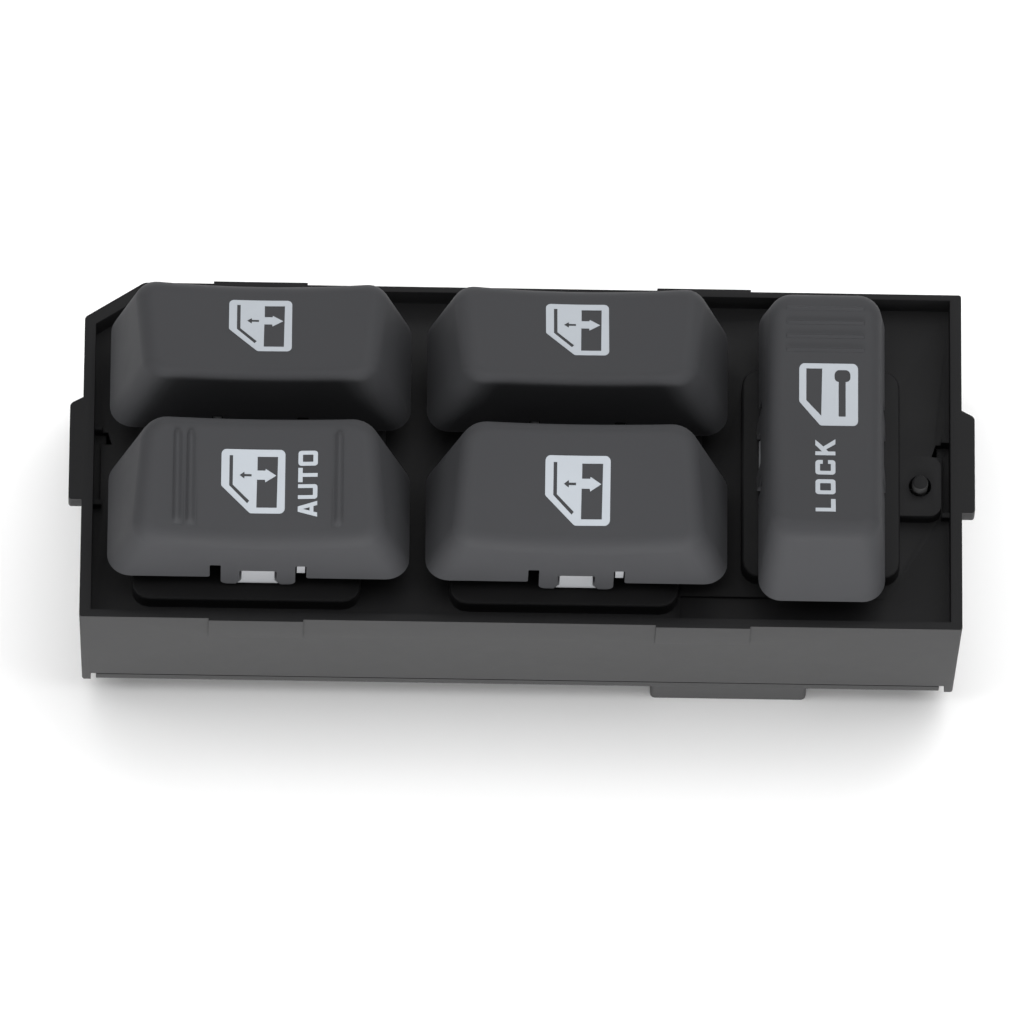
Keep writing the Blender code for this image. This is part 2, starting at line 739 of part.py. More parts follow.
def cap_cage(length, width, rises, insets):
    """A closed box with tapered ends, whose long top edges lie at two heights above the pivot."""
    base = CAP_SKIRT_RISE - PIVOT_RISE
    bm = bmesh.new()
    bmesh.ops.create_cube(bm, size=1.0)
    for v in bm.verts:
        along = math.copysign(1, v.co.x)
        across = math.copysign(1, v.co.y)
        upper = v.co.z > 0
        rise, inset = (rises[1], insets[1]) if across > 0 else (rises[0], insets[0])
        v.co.z = rise - PIVOT_RISE if upper else base
        taper = CAP_END_TAPER * (v.co.z - base)
        v.co.x = along * (length / 2 - taper)
        v.co.y = across * (width / 2 - (inset if upper else 0))
    return bm


def slice_along(bm, reach, count):
    """Cuts cross lines over the cage, so that its top can be dished."""
    for step in range(count + 1):
        x = -reach + 2 * reach * step / count
        everything = bm.verts[:] + bm.edges[:] + bm.faces[:]
        bmesh.ops.bisect_plane(bm, geom=everything, plane_co=(x, 0, 0), plane_no=(1, 0, 0))


def top_edges(bm):
    """Edges where the top of a cap meets its walls."""
    bm.normal_update()
    found = []
    for edge in bm.edges:
        ups = sorted(face.normal.z > UPWARD for face in edge.link_faces)
        if ups == [False, True]:
            found.append(edge)
    return found


def across(pair, width, y):
    """The value at y of a size that changes evenly between a cap's long sides."""
    return pair[0] + (pair[1] - pair[0]) * (y / width + 0.5)


def bow(x):
    """Share of the dish's full depth at x: 1 in the middle, 0 at the ends."""
    return 1 - min(1.0, (x / DISH_HALF_LENGTH) ** 2)


def cap_shell(length, width, rises, insets, dishes):
    """The cap's open shell, dished along its length, hollow and open below."""
    bm = cap_cage(length, width, rises, insets)
    base = CAP_SKIRT_RISE - PIVOT_RISE
    corners = [e for e in bm.edges if {v.co.z > base + CAP_EDGE for v in e.verts} == {False, True}]
    bmesh.ops.bevel(
        bm, geom=corners, offset=CAP_CORNER, segments=4, profile=0.5, affect="EDGES", material=-1
    )
    shortest = length / 2 - CAP_END_TAPER * (max(rises) - CAP_SKIRT_RISE)
    slice_along(bm, shortest - CAP_CORNER - CAP_EDGE / 2, 7)
    bmesh.ops.bevel(
        bm, geom=top_edges(bm), offset=CAP_EDGE, segments=4, profile=0.5, affect="EDGES", material=-1
    )
    for v in bm.verts:
        full = across(rises, width, v.co.y) - CAP_SKIRT_RISE
        depth = across(dishes, width, v.co.y)
        v.co.z -= depth * bow(v.co.x) * max(0.0, v.co.z - base) / full
    floor = [f for f in bm.faces if f.calc_center_median().z < base + OVERRUN / 10]
    bmesh.ops.delete(bm, geom=floor, context="FACES")
    return bm


def top_level(rises, dishes, width, x, y):
    """Height of the cap's top above the pivot, at a place along and across it."""
    return across(rises, width, y) - PIVOT_RISE - across(dishes, width, y) * bow(x)


def tongues(width, rises, insets):
    """The snap tongues below the skirt, one at each long side, which lean with the cap's walls."""
    base = CAP_SKIRT_RISE - PIVOT_RISE
    low = base - TONGUE_DROP
    top = base + RELIEF_RISE / 2
    half = TONGUE_LENGTH / 2 + TONGUE_SKIN
    outline = [
        (-half + TONGUE_CHAMFER, low),
        (half - TONGUE_CHAMFER, low),
        (half, low + TONGUE_CHAMFER),
        (half, top),
        (-half, top),
        (-half, low + TONGUE_CHAMFER),
    ]
    outer = width / 2 - TONGUE_SKIN
    inner = width / 2 - CAP_WALL + TONGUE_SKIN
    pair = gather(
        [
            (sideways_prism(outline, inner, outer), Matrix()),
            (sideways_prism(outline, -outer, -inner), Matrix()),
        ]
    )
    for v in pair.verts:
        side = int(v.co.y > 0)
        lean = insets[side] / (rises[side] - CAP_SKIRT_RISE)
        v.co.y -= math.copysign(lean * max(0.0, v.co.z - base), v.co.y)
    return pair


def notch_outline(gap):
    """The notch of a tongue, or with a gap the lug that fills it: flared at the foot."""
    foot = CAP_SKIRT_RISE - PIVOT_RISE - TONGUE_DROP
    half = NOTCH_WIDTH / 2 - gap
    top = foot + NOTCH_RISE - gap
    return [
        (-half - NOTCH_FLARE, foot),
        (half + NOTCH_FLARE, foot),
        (half, foot + 2 * NOTCH_FLARE),
        (half, top - NOTCH_CORNER),
        (half - NOTCH_CORNER, top),
        (-half + NOTCH_CORNER, top),
        (-half, top - NOTCH_CORNER),
        (-half, foot + 2 * NOTCH_FLARE),
    ]


def tongue_cuts(width):
    """The slits beside each tongue and the notch in it, all open below."""
    base = CAP_SKIRT_RISE - PIVOT_RISE
    foot = base - TONGUE_DROP
    half = TONGUE_LENGTH / 2
    inner = width / 2 - 2 * CAP_WALL
    outer = width / 2 + OVERRUN
    notch = notch_outline(0)
    notch[:2] = [(x, foot - OVERRUN) for x, _ in notch[:2]]
    pieces = []
    for side in (-1, 1):
        sides = sorted((side * inner, side * outer))
        for start in (-half - RELIEF_WIDTH, half):
            relief = box(start, start + RELIEF_WIDTH, *sides, foot - OVERRUN, base + RELIEF_RISE)
            pieces.append((relief, Matrix()))
        pieces.append((sideways_prism(notch, *sides), Matrix()))
    return gather(pieces)


def cap_ribs(rises, insets, dishes, width):
    """Two cross ribs inside the cap, which rest on the carrier's roof."""
    low = CARRIER_ROOF_RISE + CARRIER_ROOF + SEAT_GAP - PIVOT_RISE
    skirt = CAP_SKIRT_RISE - PIVOT_RISE
    leans = [insets[side] / (rises[side] - CAP_SKIRT_RISE) for side in (0, 1)]
    near, far = [width / 2 - CAP_WALL / 2 - lean * (low - skirt) for lean in leans]
    sunk = CAP_WALL - CAP_RIB_SINK
    pieces = []
    for x in (-CAP_RIB_PLACE, CAP_RIB_PLACE):
        outline = [
            (-near, low),
            (far, low),
            (far - CAP_EDGE, top_level(rises, dishes, width, x, far - CAP_EDGE) - sunk),
            (-near + CAP_EDGE, top_level(rises, dishes, width, x, -near + CAP_EDGE) - sunk),
        ]
        pieces.append((endways_prism(outline, x - CAP_RIB / 2, x + CAP_RIB / 2), Matrix()))
    return gather(pieces)


def long_ridge(rises, dishes, width, x):
    """A grip ridge across the cap at x, following the slope of its top."""
    ends = (-width / 2 + RIDGE_MARGIN, width / 2 - RIDGE_MARGIN)
    tops = [top_level(rises, dishes, width, x, y) for y in ends]
    half = RIDGE_WIDTH / 2
    rise = RIDGE_RISE
    outline = [(-half, -rise), (half, -rise), (half, 0), (half / 2, rise), (-half / 2, rise), (-half, 0)]
    bm = sideways_prism(outline, 0, ends[1] - ends[0])
    slope = (tops[1] - tops[0]) / (ends[1] - ends[0])
    for v in bm.verts:
        v.co.z += tops[0] + slope * v.co.y
        v.co.y += ends[0]
        v.co.x += x
    return bm


def lock_ridges(rises, dishes):
    """Shallow ridges at the back end of the lock cap, across it."""
    half = LOCK_RIDGE_WIDTH / 2
    rise = LOCK_RIDGE_RISE
    top = LOCK_LENGTH / 2 - CAP_END_TAPER * (LOCK_EDGE_RISE - CAP_SKIRT_RISE) - LOCK_RIDGE_END
    pieces = []
    for number in range(LOCK_RIDGE_COUNT):
        x = top - number * LOCK_RIDGE_PITCH
        level = top_level(rises, dishes, LOCK_WIDTH, x, 0)
        outline = [(-half, -rise * 2), (half, -rise * 2), (half, 0), (0, rise), (-half, 0)]
        ridge = sideways_prism(outline, -LOCK_RIDGE_LENGTH / 2, LOCK_RIDGE_LENGTH / 2)
        pieces.append((ridge, Matrix.Translation((x, 0, level))))
    return gather(pieces)


def make_cap(rocker):
    name = rocker[0]
    if name == "lock":
        length, width = LOCK_LENGTH, LOCK_WIDTH
        rises = (LOCK_EDGE_RISE, LOCK_EDGE_RISE)
        insets = (LOCK_EDGE_INSET, LOCK_EDGE_INSET)
        dishes = (LOCK_DISH, LOCK_DISH)
    else:
        length, width = CAP_LENGTH, CAP_WIDTH
        rises = (LOW_EDGE_RISE, HIGH_EDGE_RISE)
        insets = (LOW_EDGE_INSET, HIGH_EDGE_INSET)
        dishes = (LOW_EDGE_DISH, HIGH_EDGE_DISH)
    shell = cap_shell(length, width, rises, insets, dishes)
    cap = add_object(f"{name}_cap", shell, CAP_GREY, rocker_place(rocker, PIVOT))
    wall = cap.modifiers.new("wall", "SOLIDIFY")
    wall.thickness = CAP_WALL
    wall.offset = -1
    wall.use_even_offset = True
    if name == "driver":
        ridges = [(long_ridge(rises, dishes, width, x), Matrix()) for x in DRIVER_RIDGES]
        join(cap, gather(ridges), "ridges")
    if name == "lock":
        join(cap, lock_ridges(rises, dishes), "ridges")
    join(cap, cap_ribs(rises, insets, dishes, width), "ribs")
    join(cap, tongues(width, rises, insets), "tongues")
    cut(cap, tongue_cuts(width), "tongue_cuts")
    cap.data.shade_smooth()
    cap.data.set_sharp_from_angle(angle=math.radians(40))


def carrier_lugs(width):
    """The wedge lugs that hold the cap's tongues, further out at their foot."""
    fold = CAP_SKIRT_RISE - PIVOT_RISE - TONGUE_DROP + 2 * NOTCH_FLARE
    outer = width / 2 - LUG_SET_BACK
    inner = PLATE_OUT - SIDE_PLATE / 2
    lugs = []
    for side in (-1, 1):
        lug = sideways_prism(notch_outline(LUG_GAP), *sorted((side * inner, side * outer)))
        whole = lug.verts[:] + lug.edges[:] + lug.faces[:]
        bmesh.ops.bisect_plane(lug, geom=whole, plane_co=(0, 0, fold), plane_no=(0, 0, 1))
        for v in lug.verts:
            if abs(v.co.y) > (inner + outer) / 2:
                v.co.y -= side * LUG_LEAN * max(0.0, v.co.z - fold)
        lugs.append((lug, Matrix()))
    return gather(lugs)


def make_carrier(rocker):
    """The white lever under a cap: a roof, two side plates on the trunnions and a hollow stem."""
    roof_low = CARRIER_ROOF_RISE - PIVOT_RISE
    roof_top = roof_low + CARRIER_ROOF
    half = SIDE_PLATE_TOP_HALF
    foot = CAP_SKIRT_RISE - PIVOT_RISE - TONGUE_DROP + LUG_GAP
    roof = box(-half, half, -PLATE_OUT, PLATE_OUT, roof_low, roof_top)
    carrier = add_object(f"{rocker[0]}_carrier", roof, CARRIER_WHITE, rocker_place(rocker, PIVOT))
    plate = [
        (-SIDE_PLATE_FOOT_HALF, foot),
        (SIDE_PLATE_FOOT_HALF, foot),
        (half, SIDE_PLATE_WAIST),
        (half, roof_low + CARRIER_ROOF / 2),
        (-half, roof_low + CARRIER_ROOF / 2),
        (-half, SIDE_PLATE_WAIST),
    ]
    plates = gather(
        [
            (sideways_prism(plate, PLATE_IN, PLATE_OUT), Matrix()),
            (sideways_prism(plate, -PLATE_OUT, -PLATE_IN), Matrix()),
        ]
    )
    join(carrier, plates, "side_plates")
    if rocker[0] == "lock":
        width, inset, rise = LOCK_WIDTH, LOCK_EDGE_INSET, LOCK_EDGE_RISE
    else:
        width, inset, rise = CAP_WIDTH, HIGH_EDGE_INSET, HIGH_EDGE_RISE
    join(carrier, carrier_lugs(width), "lugs")
    key_top = CAP_SKIRT_RISE - PIVOT_RISE + RELIEF_RISE - KEY_GAP
    key_start = TONGUE_LENGTH / 2 + KEY_GAP
    key_end = TONGUE_LENGTH / 2 + RELIEF_WIDTH - KEY_GAP
    key_out = width / 2 - LUG_SET_BACK - inset / (rise - CAP_SKIRT_RISE) * RELIEF_RISE
    keys = []
    for side in (-1, 1):
        sides = sorted((side * (PLATE_OUT - SIDE_PLATE / 2), side * key_out))
        keys.append((box(key_start, key_end, *sides, key_top - KEY_HEIGHT, key_top), Matrix()))
    join(carrier, gather(keys), "keys")
    stem = box(
        -STEM_LENGTH / 2,
        STEM_LENGTH / 2,
        -STEM_WIDTH / 2,
        STEM_WIDTH / 2,
        -STEM_REACH,
        roof_low + CARRIER_ROOF / 2,
    )
    join(carrier, stem, "stem")
    bore = cylinder(BORE_RADIUS, -STEM_REACH - OVERRUN, -STEM_REACH + BORE_DEPTH)
    cut(carrier, bore, "bore")
    eyes = []
    end = CHIMNEY_OUT + TRUNNION_LENGTH + RUNNING_GAP
    for side in (-1, 1):
        eye = cylinder(TRUNNION_RADIUS + TRUNNION_PLAY, CHIMNEY_OUT, end)
        eyes.append((eye, Matrix.Rotation(math.radians(-90 * side), 4, "X")))
    cut(carrier, gather(eyes), "eyes")


def make_plunger(rocker):
    """The sliding pin in the stem, with a domed tip on the seesaw contact."""
    radius = BORE_RADIUS - PLUNGER_PLAY
    bm = cylinder(radius, PLUNGER_TIP, PLUNGER_TIP + PLUNGER_LENGTH)
    tip = [e for e in bm.edges if max(v.co.z for v in e.verts) < PLUNGER_TIP + OVERRUN / 10]
    bmesh.ops.bevel(
        bm, geom=tip, offset=PLUNGER_DOME, segments=3, profile=0.5, affect="EDGES", material=-1
    )
    plunger = add_object(f"{rocker[0]}_plunger", bm, PLUNGER_WHITE, rocker_place(rocker, PIVOT))
    plunger.data.shade_smooth()
    plunger.data.set_sharp_from_angle(angle=math.radians(50))


def make_spring(rocker):
    """The compression spring between the plunger and the end of the stem's bore."""
    low = PLUNGER_TIP + PLUNGER_LENGTH + SPRING_END_GAP + SPRING_WIRE / 2
    high = -STEM_REACH + BORE_DEPTH - SPRING_END_GAP - SPRING_WIRE / 2
    radius = BORE_RADIUS - PLUNGER_PLAY - SPRING_WIRE / 2
    curve = bpy.data.curves.new(f"{rocker[0]}_spring", "CURVE")
    curve.dimensions = "3D"
    curve.bevel_depth = SPRING_WIRE / 2
    curve.bevel_resolution = 0
    curve.use_fill_caps = True
    count = SPRING_TURNS * SPRING_STEPS + 1
    line = curve.splines.new("POLY")
    line.points.add(count - 1)
    for index, point in enumerate(line.points):
        turn = 2 * math.pi * index / SPRING_STEPS
        height = low + (high - low) * index / (count - 1)
        point.co = (radius * math.cos(turn), radius * math.sin(turn), height, 1)
    curve.materials.append(material(SPRING_STEEL))
    spring = bpy.data.objects.new(f"{rocker[0]}_spring", curve)
    spring.matrix_world = rocker_place(rocker, PIVOT)
    bpy.context.collection.objects.link(spring)


def make_seesaw(rocker):
    """The bent contact strip that tips on its fold, with a button under each end."""
    slope = math.tan(math.radians(SEESAW_BEND))
    end_rise = SEESAW_HALF * slope
    outline = [
        (0, 0),
        (SEESAW_HALF, end_rise),
        (SEESAW_HALF, end_rise + SEESAW_SHEET),
        (0, SEESAW_SHEET),
        (-SEESAW_HALF, end_rise + SEESAW_SHEET),
        (-SEESAW_HALF, end_rise),
    ]
    half = SEESAW_WIDTH / 2
    strip = sideways_prism(outline, -half, half)
    seesaw = add_object(f"{rocker[0]}_seesaw", strip, BRASS, rocker_place(rocker, PIVOT + SEESAW_AXIS))
    level = BUTTON_FROM_MIDDLE * slope
    buttons = []
    for x in (-BUTTON_FROM_MIDDLE, BUTTON_FROM_MIDDLE):
        button = cylinder(BUTTON_RADIUS, level - BUTTON_HEIGHT, level + SEESAW_SHEET / 2, 10)
        buttons.append((button, Matrix.Translation((x, 0, 0))))
    join(seesaw, gather(buttons), "buttons")


def make_fulcrum(rocker):
    """The terminal that carries the seesaw: a web below its fold and a cheek at each side."""
    web = SEESAW_WIDTH / 2 + CHEEK_PLAY
    cheek = web + CONTACT_SHEET
    low = -FULCRUM_HEIGHT + SEAT_GAP
    outline = [
        (-cheek, low),
        (-web, low),
        (-web, -CONTACT_SHEET),
        (web, -CONTACT_SHEET),
        (web, low),
        (cheek, low),
        (cheek, CHEEK_RISE),
        (web, CHEEK_RISE),
        (web, 0),
        (-web, 0),
        (-web, CHEEK_RISE),
        (-cheek, CHEEK_RISE),
    ]
    bm = endways_prism(outline, -FULCRUM_LENGTH / 2, FULCRUM_LENGTH / 2)
    add_object(f"{rocker[0]}_fulcrum", bm, BRASS, rocker_place(rocker, PIVOT + WEB_TOP))


def make_contacts(rocker):
    """The two fixed contacts under the buttons: a foot on the board, a riser and a top."""
    button_foot = SEESAW_AXIS + BUTTON_FROM_MIDDLE * math.tan(math.radians(SEESAW_BEND)) - BUTTON_HEIGHT
    top = PIVOT + button_foot - CONTACT_TRAVEL
    low = BOARD_TOP + SEAT_GAP
    near = BUTTON_FROM_MIDDLE - CONTACT_LENGTH / 2
    far = near + CONTACT_LENGTH
    riser = far - CONTACT_SHEET
    outline = [
        (near, low),
        (far, low),
        (far, top),
        (near, top),
        (near, top - CONTACT_SHEET),
        (riser, top - CONTACT_SHEET),
        (riser, low + CONTACT_SHEET),
        (near, low + CONTACT_SHEET),
    ]
    half = CONTACT_WIDTH / 2
    for label, turn in (("a", 180), ("b", 0)):
        bm = sideways_prism(outline, -half, half)
        bm.transform(Matrix.Rotation(math.radians(turn), 4, "Z"))
        add_object(f"{rocker[0]}_contact_{label}", bm, BRASS, rocker_place(rocker))


def main():
    clear_scene()
    make_housing()
    make_base_plate()
    make_board()
    make_pins()
    for rocker in ROCKERS:
        make_cap(rocker)
        make_carrier(rocker)
        make_plunger(rocker)
        make_spring(rocker)
        make_seesaw(rocker)
        make_fulcrum(rocker)
        make_contacts(rocker)


main()
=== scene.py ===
# %% [markdown]
# # A driver's window switch, dressed around its CAD frame
#
# The CAD model gives a black tray, five rocker caps on white levers, and the contacts below.
# This lesson keeps that frame where it is and makes what the eye sees: finely rounded caps with
# printed symbols, softened tray edges, and moulded plastic finishes. Everything is in metres,
# with X along the tray, Y from front to back and Z up.

# %% The frame and its first box
import json
import math

import bmesh
import bpy
from mathutils import Matrix, Vector
from mathutils.bvhtree import BVHTree


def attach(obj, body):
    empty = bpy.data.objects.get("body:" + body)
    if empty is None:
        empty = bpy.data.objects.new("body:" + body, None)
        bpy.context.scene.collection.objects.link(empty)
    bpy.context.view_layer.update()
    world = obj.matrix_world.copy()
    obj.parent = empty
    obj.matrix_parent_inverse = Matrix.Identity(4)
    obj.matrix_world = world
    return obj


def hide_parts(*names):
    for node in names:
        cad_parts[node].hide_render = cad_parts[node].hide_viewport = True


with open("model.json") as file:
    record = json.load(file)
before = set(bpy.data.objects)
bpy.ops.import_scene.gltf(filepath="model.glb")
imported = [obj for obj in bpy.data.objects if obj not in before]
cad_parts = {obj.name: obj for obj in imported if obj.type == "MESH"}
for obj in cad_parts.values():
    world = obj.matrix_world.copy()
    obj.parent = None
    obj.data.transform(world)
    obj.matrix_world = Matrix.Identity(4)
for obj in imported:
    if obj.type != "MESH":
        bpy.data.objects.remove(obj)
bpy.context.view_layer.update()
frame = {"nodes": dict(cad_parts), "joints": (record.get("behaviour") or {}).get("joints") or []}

# %% [markdown]
# ## Where things are
#
# A cap is easiest to build in its own frame: x along the cap, y across it and z up from its
# pivot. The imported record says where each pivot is, so the lesson reads the places from the
# joints instead of repeating them. The rear caps are the front ones turned half round, and the
# lock cap stands across them, a quarter turn on.

# %% Places of the five rockers
TURNS = {"driver": 0, "passenger": 0, "rear_left": 180, "rear_right": 180, "lock": 90}


def quarter_turned(place, turn):
    """A frame at place, turned about Z by a whole number of quarter turns."""
    cosine = round(math.cos(math.radians(turn)))
    sine = round(math.sin(math.radians(turn)))
    x, y, z = place
    return Matrix(((cosine, -sine, 0, x), (sine, cosine, 0, y), (0, 0, 1, z), (0, 0, 0, 1)))


pivots = {joint["child"]: joint["pos_m"] for joint in frame["joints"] if joint["type"] == "hinge"}
places = {name: quarter_turned(pivots[name + "_rocker"], turn) for name, turn in TURNS.items()}
for name, place in places.items():
    print(name, [round(value, 4) for value in place.translation])

# %% [markdown]
# ## The camera
#
# The photograph looks down from in front, a little from the left, and the picture is rolled
# clockwise by three degrees. A camera is a matrix, so its own right, up and back directions are
# worked out from those angles and written as its columns. It stands far off with a long lens,
# which keeps the tray's ends nearly parallel as in the photograph.

# %% Camera
AZIMUTH, ELEVATION, ROLL = math.radians(-2.38), math.radians(66.0), math.radians(3.068)
DISTANCE = 2.41315
PIXELS_PER_METRE = 6873.0
AIM_RIGHT, AIM_UP = -0.001501, -0.008295
PICTURE_PIXELS = 1024
SENSOR = 36.0
RIM_OF_TRAY = 0.0283

back = Vector((
    math.sin(AZIMUTH) * math.cos(ELEVATION),
    -math.cos(AZIMUTH) * math.cos(ELEVATION),
    math.sin(ELEVATION),
))
level_right = Vector((math.cos(AZIMUTH), math.sin(AZIMUTH), 0))
level_up = back.cross(level_right)
right = level_right * math.cos(ROLL) + level_up * math.sin(ROLL)
up = level_up * math.cos(ROLL) - level_right * math.sin(ROLL)
aim = Vector((0, 0, RIM_OF_TRAY)) + right * AIM_RIGHT + up * AIM_UP
eye = aim + back * DISTANCE

camera = bpy.data.objects.new("camera", bpy.data.cameras.new("camera"))
bpy.context.scene.collection.objects.link(camera)
camera.matrix_world = Matrix((
    (right.x, up.x, back.x, eye.x),
    (right.y, up.y, back.y, eye.y),
    (right.z, up.z, back.z, eye.z),
    (0, 0, 0, 1),
))
camera.data.sensor_width = SENSOR
camera.data.lens = SENSOR * DISTANCE * PIXELS_PER_METRE / PICTURE_PIXELS
camera.data.clip_start = DISTANCE / 10
camera.data.clip_end = DISTANCE * 3
bpy.context.scene.camera = camera
print("lens", round(camera.data.lens, 1), "mm")

# %% [markdown]
# ## Node helpers
#
# A finish is a small network of shader nodes. Three groups of nodes return in every finish
# here: a noise, a colour that follows a value, and a value moved from one range to another.
# They could be wired by hand each time. As helpers they are wired once, and each finish below
# reads as a short list.

# %% Noise, tint and range
def noise(nodes, links, vector, scale, detail):
    """A noise with scale waves for each unit of the vector."""
    made = nodes.new("ShaderNodeTexNoise")
    made.inputs["Scale"].default_value = scale
    made.inputs["Detail"].default_value = detail
    links.new(vector, made.inputs["Vector"])
    return made.outputs["Fac"]


def tinted(nodes, links, value, ends, colours):
    """A colour that runs between two colours while the value runs between two ends."""
    made = nodes.new("ShaderNodeValToRGB")
    for element, end, colour in zip(made.color_ramp.elements, ends, colours):
        element.position = end
        element.color = (*colour, 1)
    links.new(value, made.inputs["Fac"])
    return made.outputs["Color"]


def ranged(nodes, links, value, ends, results):
    """A value that runs between two results while the given one runs between two ends."""
    made = nodes.new("ShaderNodeMapRange")
    made.inputs["From Min"].default_value, made.inputs["From Max"].default_value = ends
    made.inputs["To Min"].default_value, made.inputs["To Max"].default_value = results
    links.new(value, made.inputs["Value"])
    return made.outputs["Result"]


def new_material(name):
    """An empty material, with its nodes, links and shader at hand."""
    made = bpy.data.materials.new(name)
    made.use_nodes = True
    nodes, links = made.node_tree.nodes, made.node_tree.links
    return made, nodes, links, nodes["Principled BSDF"]


print("node helpers:", noise.__name__, tinted.__name__, ranged.__name__)

# %% [markdown]
# ## Moulded plastic
#
# The caps, tray and levers are all injection moulded. Their moulds are eroded by sparks, which
# leaves a fine pebbled grain that scatters the light, and handling polishes it a little
# unevenly. One helper makes such a finish: a fine noise drives the bump, a broad one drifts the
# colour and the roughness. Object coordinates are used, so the grain has the same size on
# every piece.

# %% A helper for moulded plastic
BROAD_SCALE, BROAD_DETAIL = 140.0, 3.0
GRAIN_DETAIL = 2.0
NOISE_ENDS = (0.3, 0.7)
POLISH = 0.04


def grained_plastic(name, colour, roughness, grain_size, grain_depth, drift, specular=0.5):
    """A moulded finish: grain_size and grain_depth in metres, drift as a share of the colour."""
    made, nodes, links, shader = new_material(name)
    shader.inputs["Specular IOR Level"].default_value = specular
    where = nodes.new("ShaderNodeTexCoord").outputs["Object"]

    broad = noise(nodes, links, where, BROAD_SCALE, BROAD_DETAIL)
    shades = [[value * (1 + change) for value in colour] for change in (-drift, drift)]
    links.new(tinted(nodes, links, broad, NOISE_ENDS, shades), shader.inputs["Base Color"])
    polish = (roughness - POLISH, roughness + POLISH)
    links.new(ranged(nodes, links, broad, NOISE_ENDS, polish), shader.inputs["Roughness"])

    grain = noise(nodes, links, where, 1 / grain_size, GRAIN_DETAIL)
    bump = nodes.new("ShaderNodeBump")
    bump.inputs["Strength"].default_value = 1.0
    bump.inputs["Distance"].default_value = grain_depth
    links.new(grain, bump.inputs["Height"])
    links.new(bump.outputs["Normal"], shader.inputs["Normal"])
    return made


print("noise for drifts:", BROAD_SCALE, "waves in a metre")

# %% [markdown]
# ## The plastics
#
# The caps are dark grey and matt. The tray is black plastic inside and out, but its outer walls
# are given a lighter grey and a little more roughness: a painted reflection of the white floor,
# which the camera sees on them at a grazing angle. The levers under the caps are off-white. Each
# could have a flat colour, but the grain and the slight drift keep large faces from looking like
# paper cut-outs.

# %% Plastics of the caps, tray and levers
cap_grey = grained_plastic(
    "cap_grey", (0.034, 0.0345, 0.037), roughness=0.66, grain_size=0.00022, grain_depth=0.000006,
    drift=0.03, specular=0.14,
)
tray_black = grained_plastic(
    "tray_black", (0.0095, 0.0095, 0.01), roughness=0.50, grain_size=0.0003, grain_depth=0.000008,
    drift=0.08, specular=0.06,
)
# Outer walls: the tray's own black plastic, painted lighter to stand for the white floor's
# reflection.
painted_reflection_wall = grained_plastic(
    "painted_reflection_wall", (0.036, 0.036, 0.0365), roughness=0.60, grain_size=0.0003, grain_depth=0.000008,
    drift=0.03, specular=0.14,
)
carrier_white = grained_plastic(
    "carrier_white", (0.22, 0.225, 0.235), roughness=0.42, grain_size=0.0005, grain_depth=0.000004,
    drift=0.03,
)
plunger_white = grained_plastic(
    "plunger_white", (0.72, 0.71, 0.67), roughness=0.38, grain_size=0.0005, grain_depth=0.000003,
    drift=0.03,
)
print("finishes", [material.name for material in bpy.data.materials])

# %% [markdown]
# ## The other finishes
#
# The printed symbols are a thin coat of pale ink with a slight unevenness, and the circuit
# board carries a green lacquer, so both use the plastic's helper. Contacts and pins are stamped
# brass, drawn in one direction, and the springs are bright wire. Their streaks come from a
# noise that is stretched along X.

# %% Ink, lacquer and metals
STREAK_LENGTH = 20
STREAK_DETAIL = 3.0
STREAK_SHADE = 0.85
METAL_POLISH = 0.08
WHOLE_RANGE = (0, 1)


def drawn_metal(name, colour, roughness, streak):
    """Metal with fine streaks along X, from drawing or rolling; streak is their width."""
    made, nodes, links, shader = new_material(name)
    shader.inputs["Metallic"].default_value = 1.0
    where = nodes.new("ShaderNodeTexCoord").outputs["Object"]
    stretched = nodes.new("ShaderNodeMapping")
    stretched.inputs["Scale"].default_value = (1 / (streak * STREAK_LENGTH), 1 / streak, 1 / streak)
    links.new(where, stretched.inputs["Vector"])
    streaks = noise(nodes, links, stretched.outputs["Vector"], 1.0, STREAK_DETAIL)
    shades = [[value * STREAK_SHADE for value in colour], colour]
    links.new(tinted(nodes, links, streaks, WHOLE_RANGE, shades), shader.inputs["Base Color"])
    polish = (roughness - METAL_POLISH, roughness + METAL_POLISH)
    links.new(ranged(nodes, links, streaks, WHOLE_RANGE, polish), shader.inputs["Roughness"])
    return made


print_ink = grained_plastic(
    "print_ink", (0.325, 0.35, 0.38), roughness=0.55, grain_size=0.0002, grain_depth=0.000003,
    drift=0.02,
)
board_green = grained_plastic(
    "board_green", (0.02, 0.11, 0.05), roughness=0.35, grain_size=0.0008, grain_depth=0.00001,
    drift=0.2,
)
contact_brass = drawn_metal("contact_brass", (0.72, 0.54, 0.25), roughness=0.32, streak=0.00015)
spring_steel = drawn_metal("spring_steel", (0.62, 0.62, 0.63), roughness=0.28, streak=0.0001)
print("materials", len(bpy.data.materials))

# %% [markdown]
# ## The shape of a rocker cap
#
# A cap starts as a box with tapered ends, whose two long top edges lie at different heights, so
# that the window caps slope towards the outside of the tray. Its corners are bevelled widely,
# the top edges softly, and then the top is dished along its length for the finger. These sizes
# are the CAD model's own. A pair of sizes holds for the cap's two long sides.

# %% Sizes of the caps
CAP_LENGTH, CAP_WIDTH = 0.0438, 0.0184
SKIRT_RISE, PIVOT_RISE = 0.0020, 0.0025
END_TAPER, CORNER_RADIUS, EDGE_RADIUS = 0.30, 0.0033, 0.0022
WALL = 0.0013
DISH_HALF_LENGTH = 0.0164
TONGUE_DROP = 0.0023
SKIRT = SKIRT_RISE - PIVOT_RISE
TONGUE_END = SKIRT - TONGUE_DROP
WINDOW_CAP = {"length": CAP_LENGTH, "rises": (0.0149, 0.0203), "insets": (0.00016, 0.0004),
              "dishes": (0.0018, 0.0009)}
LOCK_CAP = {"length": 0.0468, "rises": (0.0166, 0.0166), "insets": (0.0012, 0.0012),
            "dishes": (0.0015, 0.0015)}
caps = {name: LOCK_CAP if name == "lock" else WINDOW_CAP for name in TURNS}


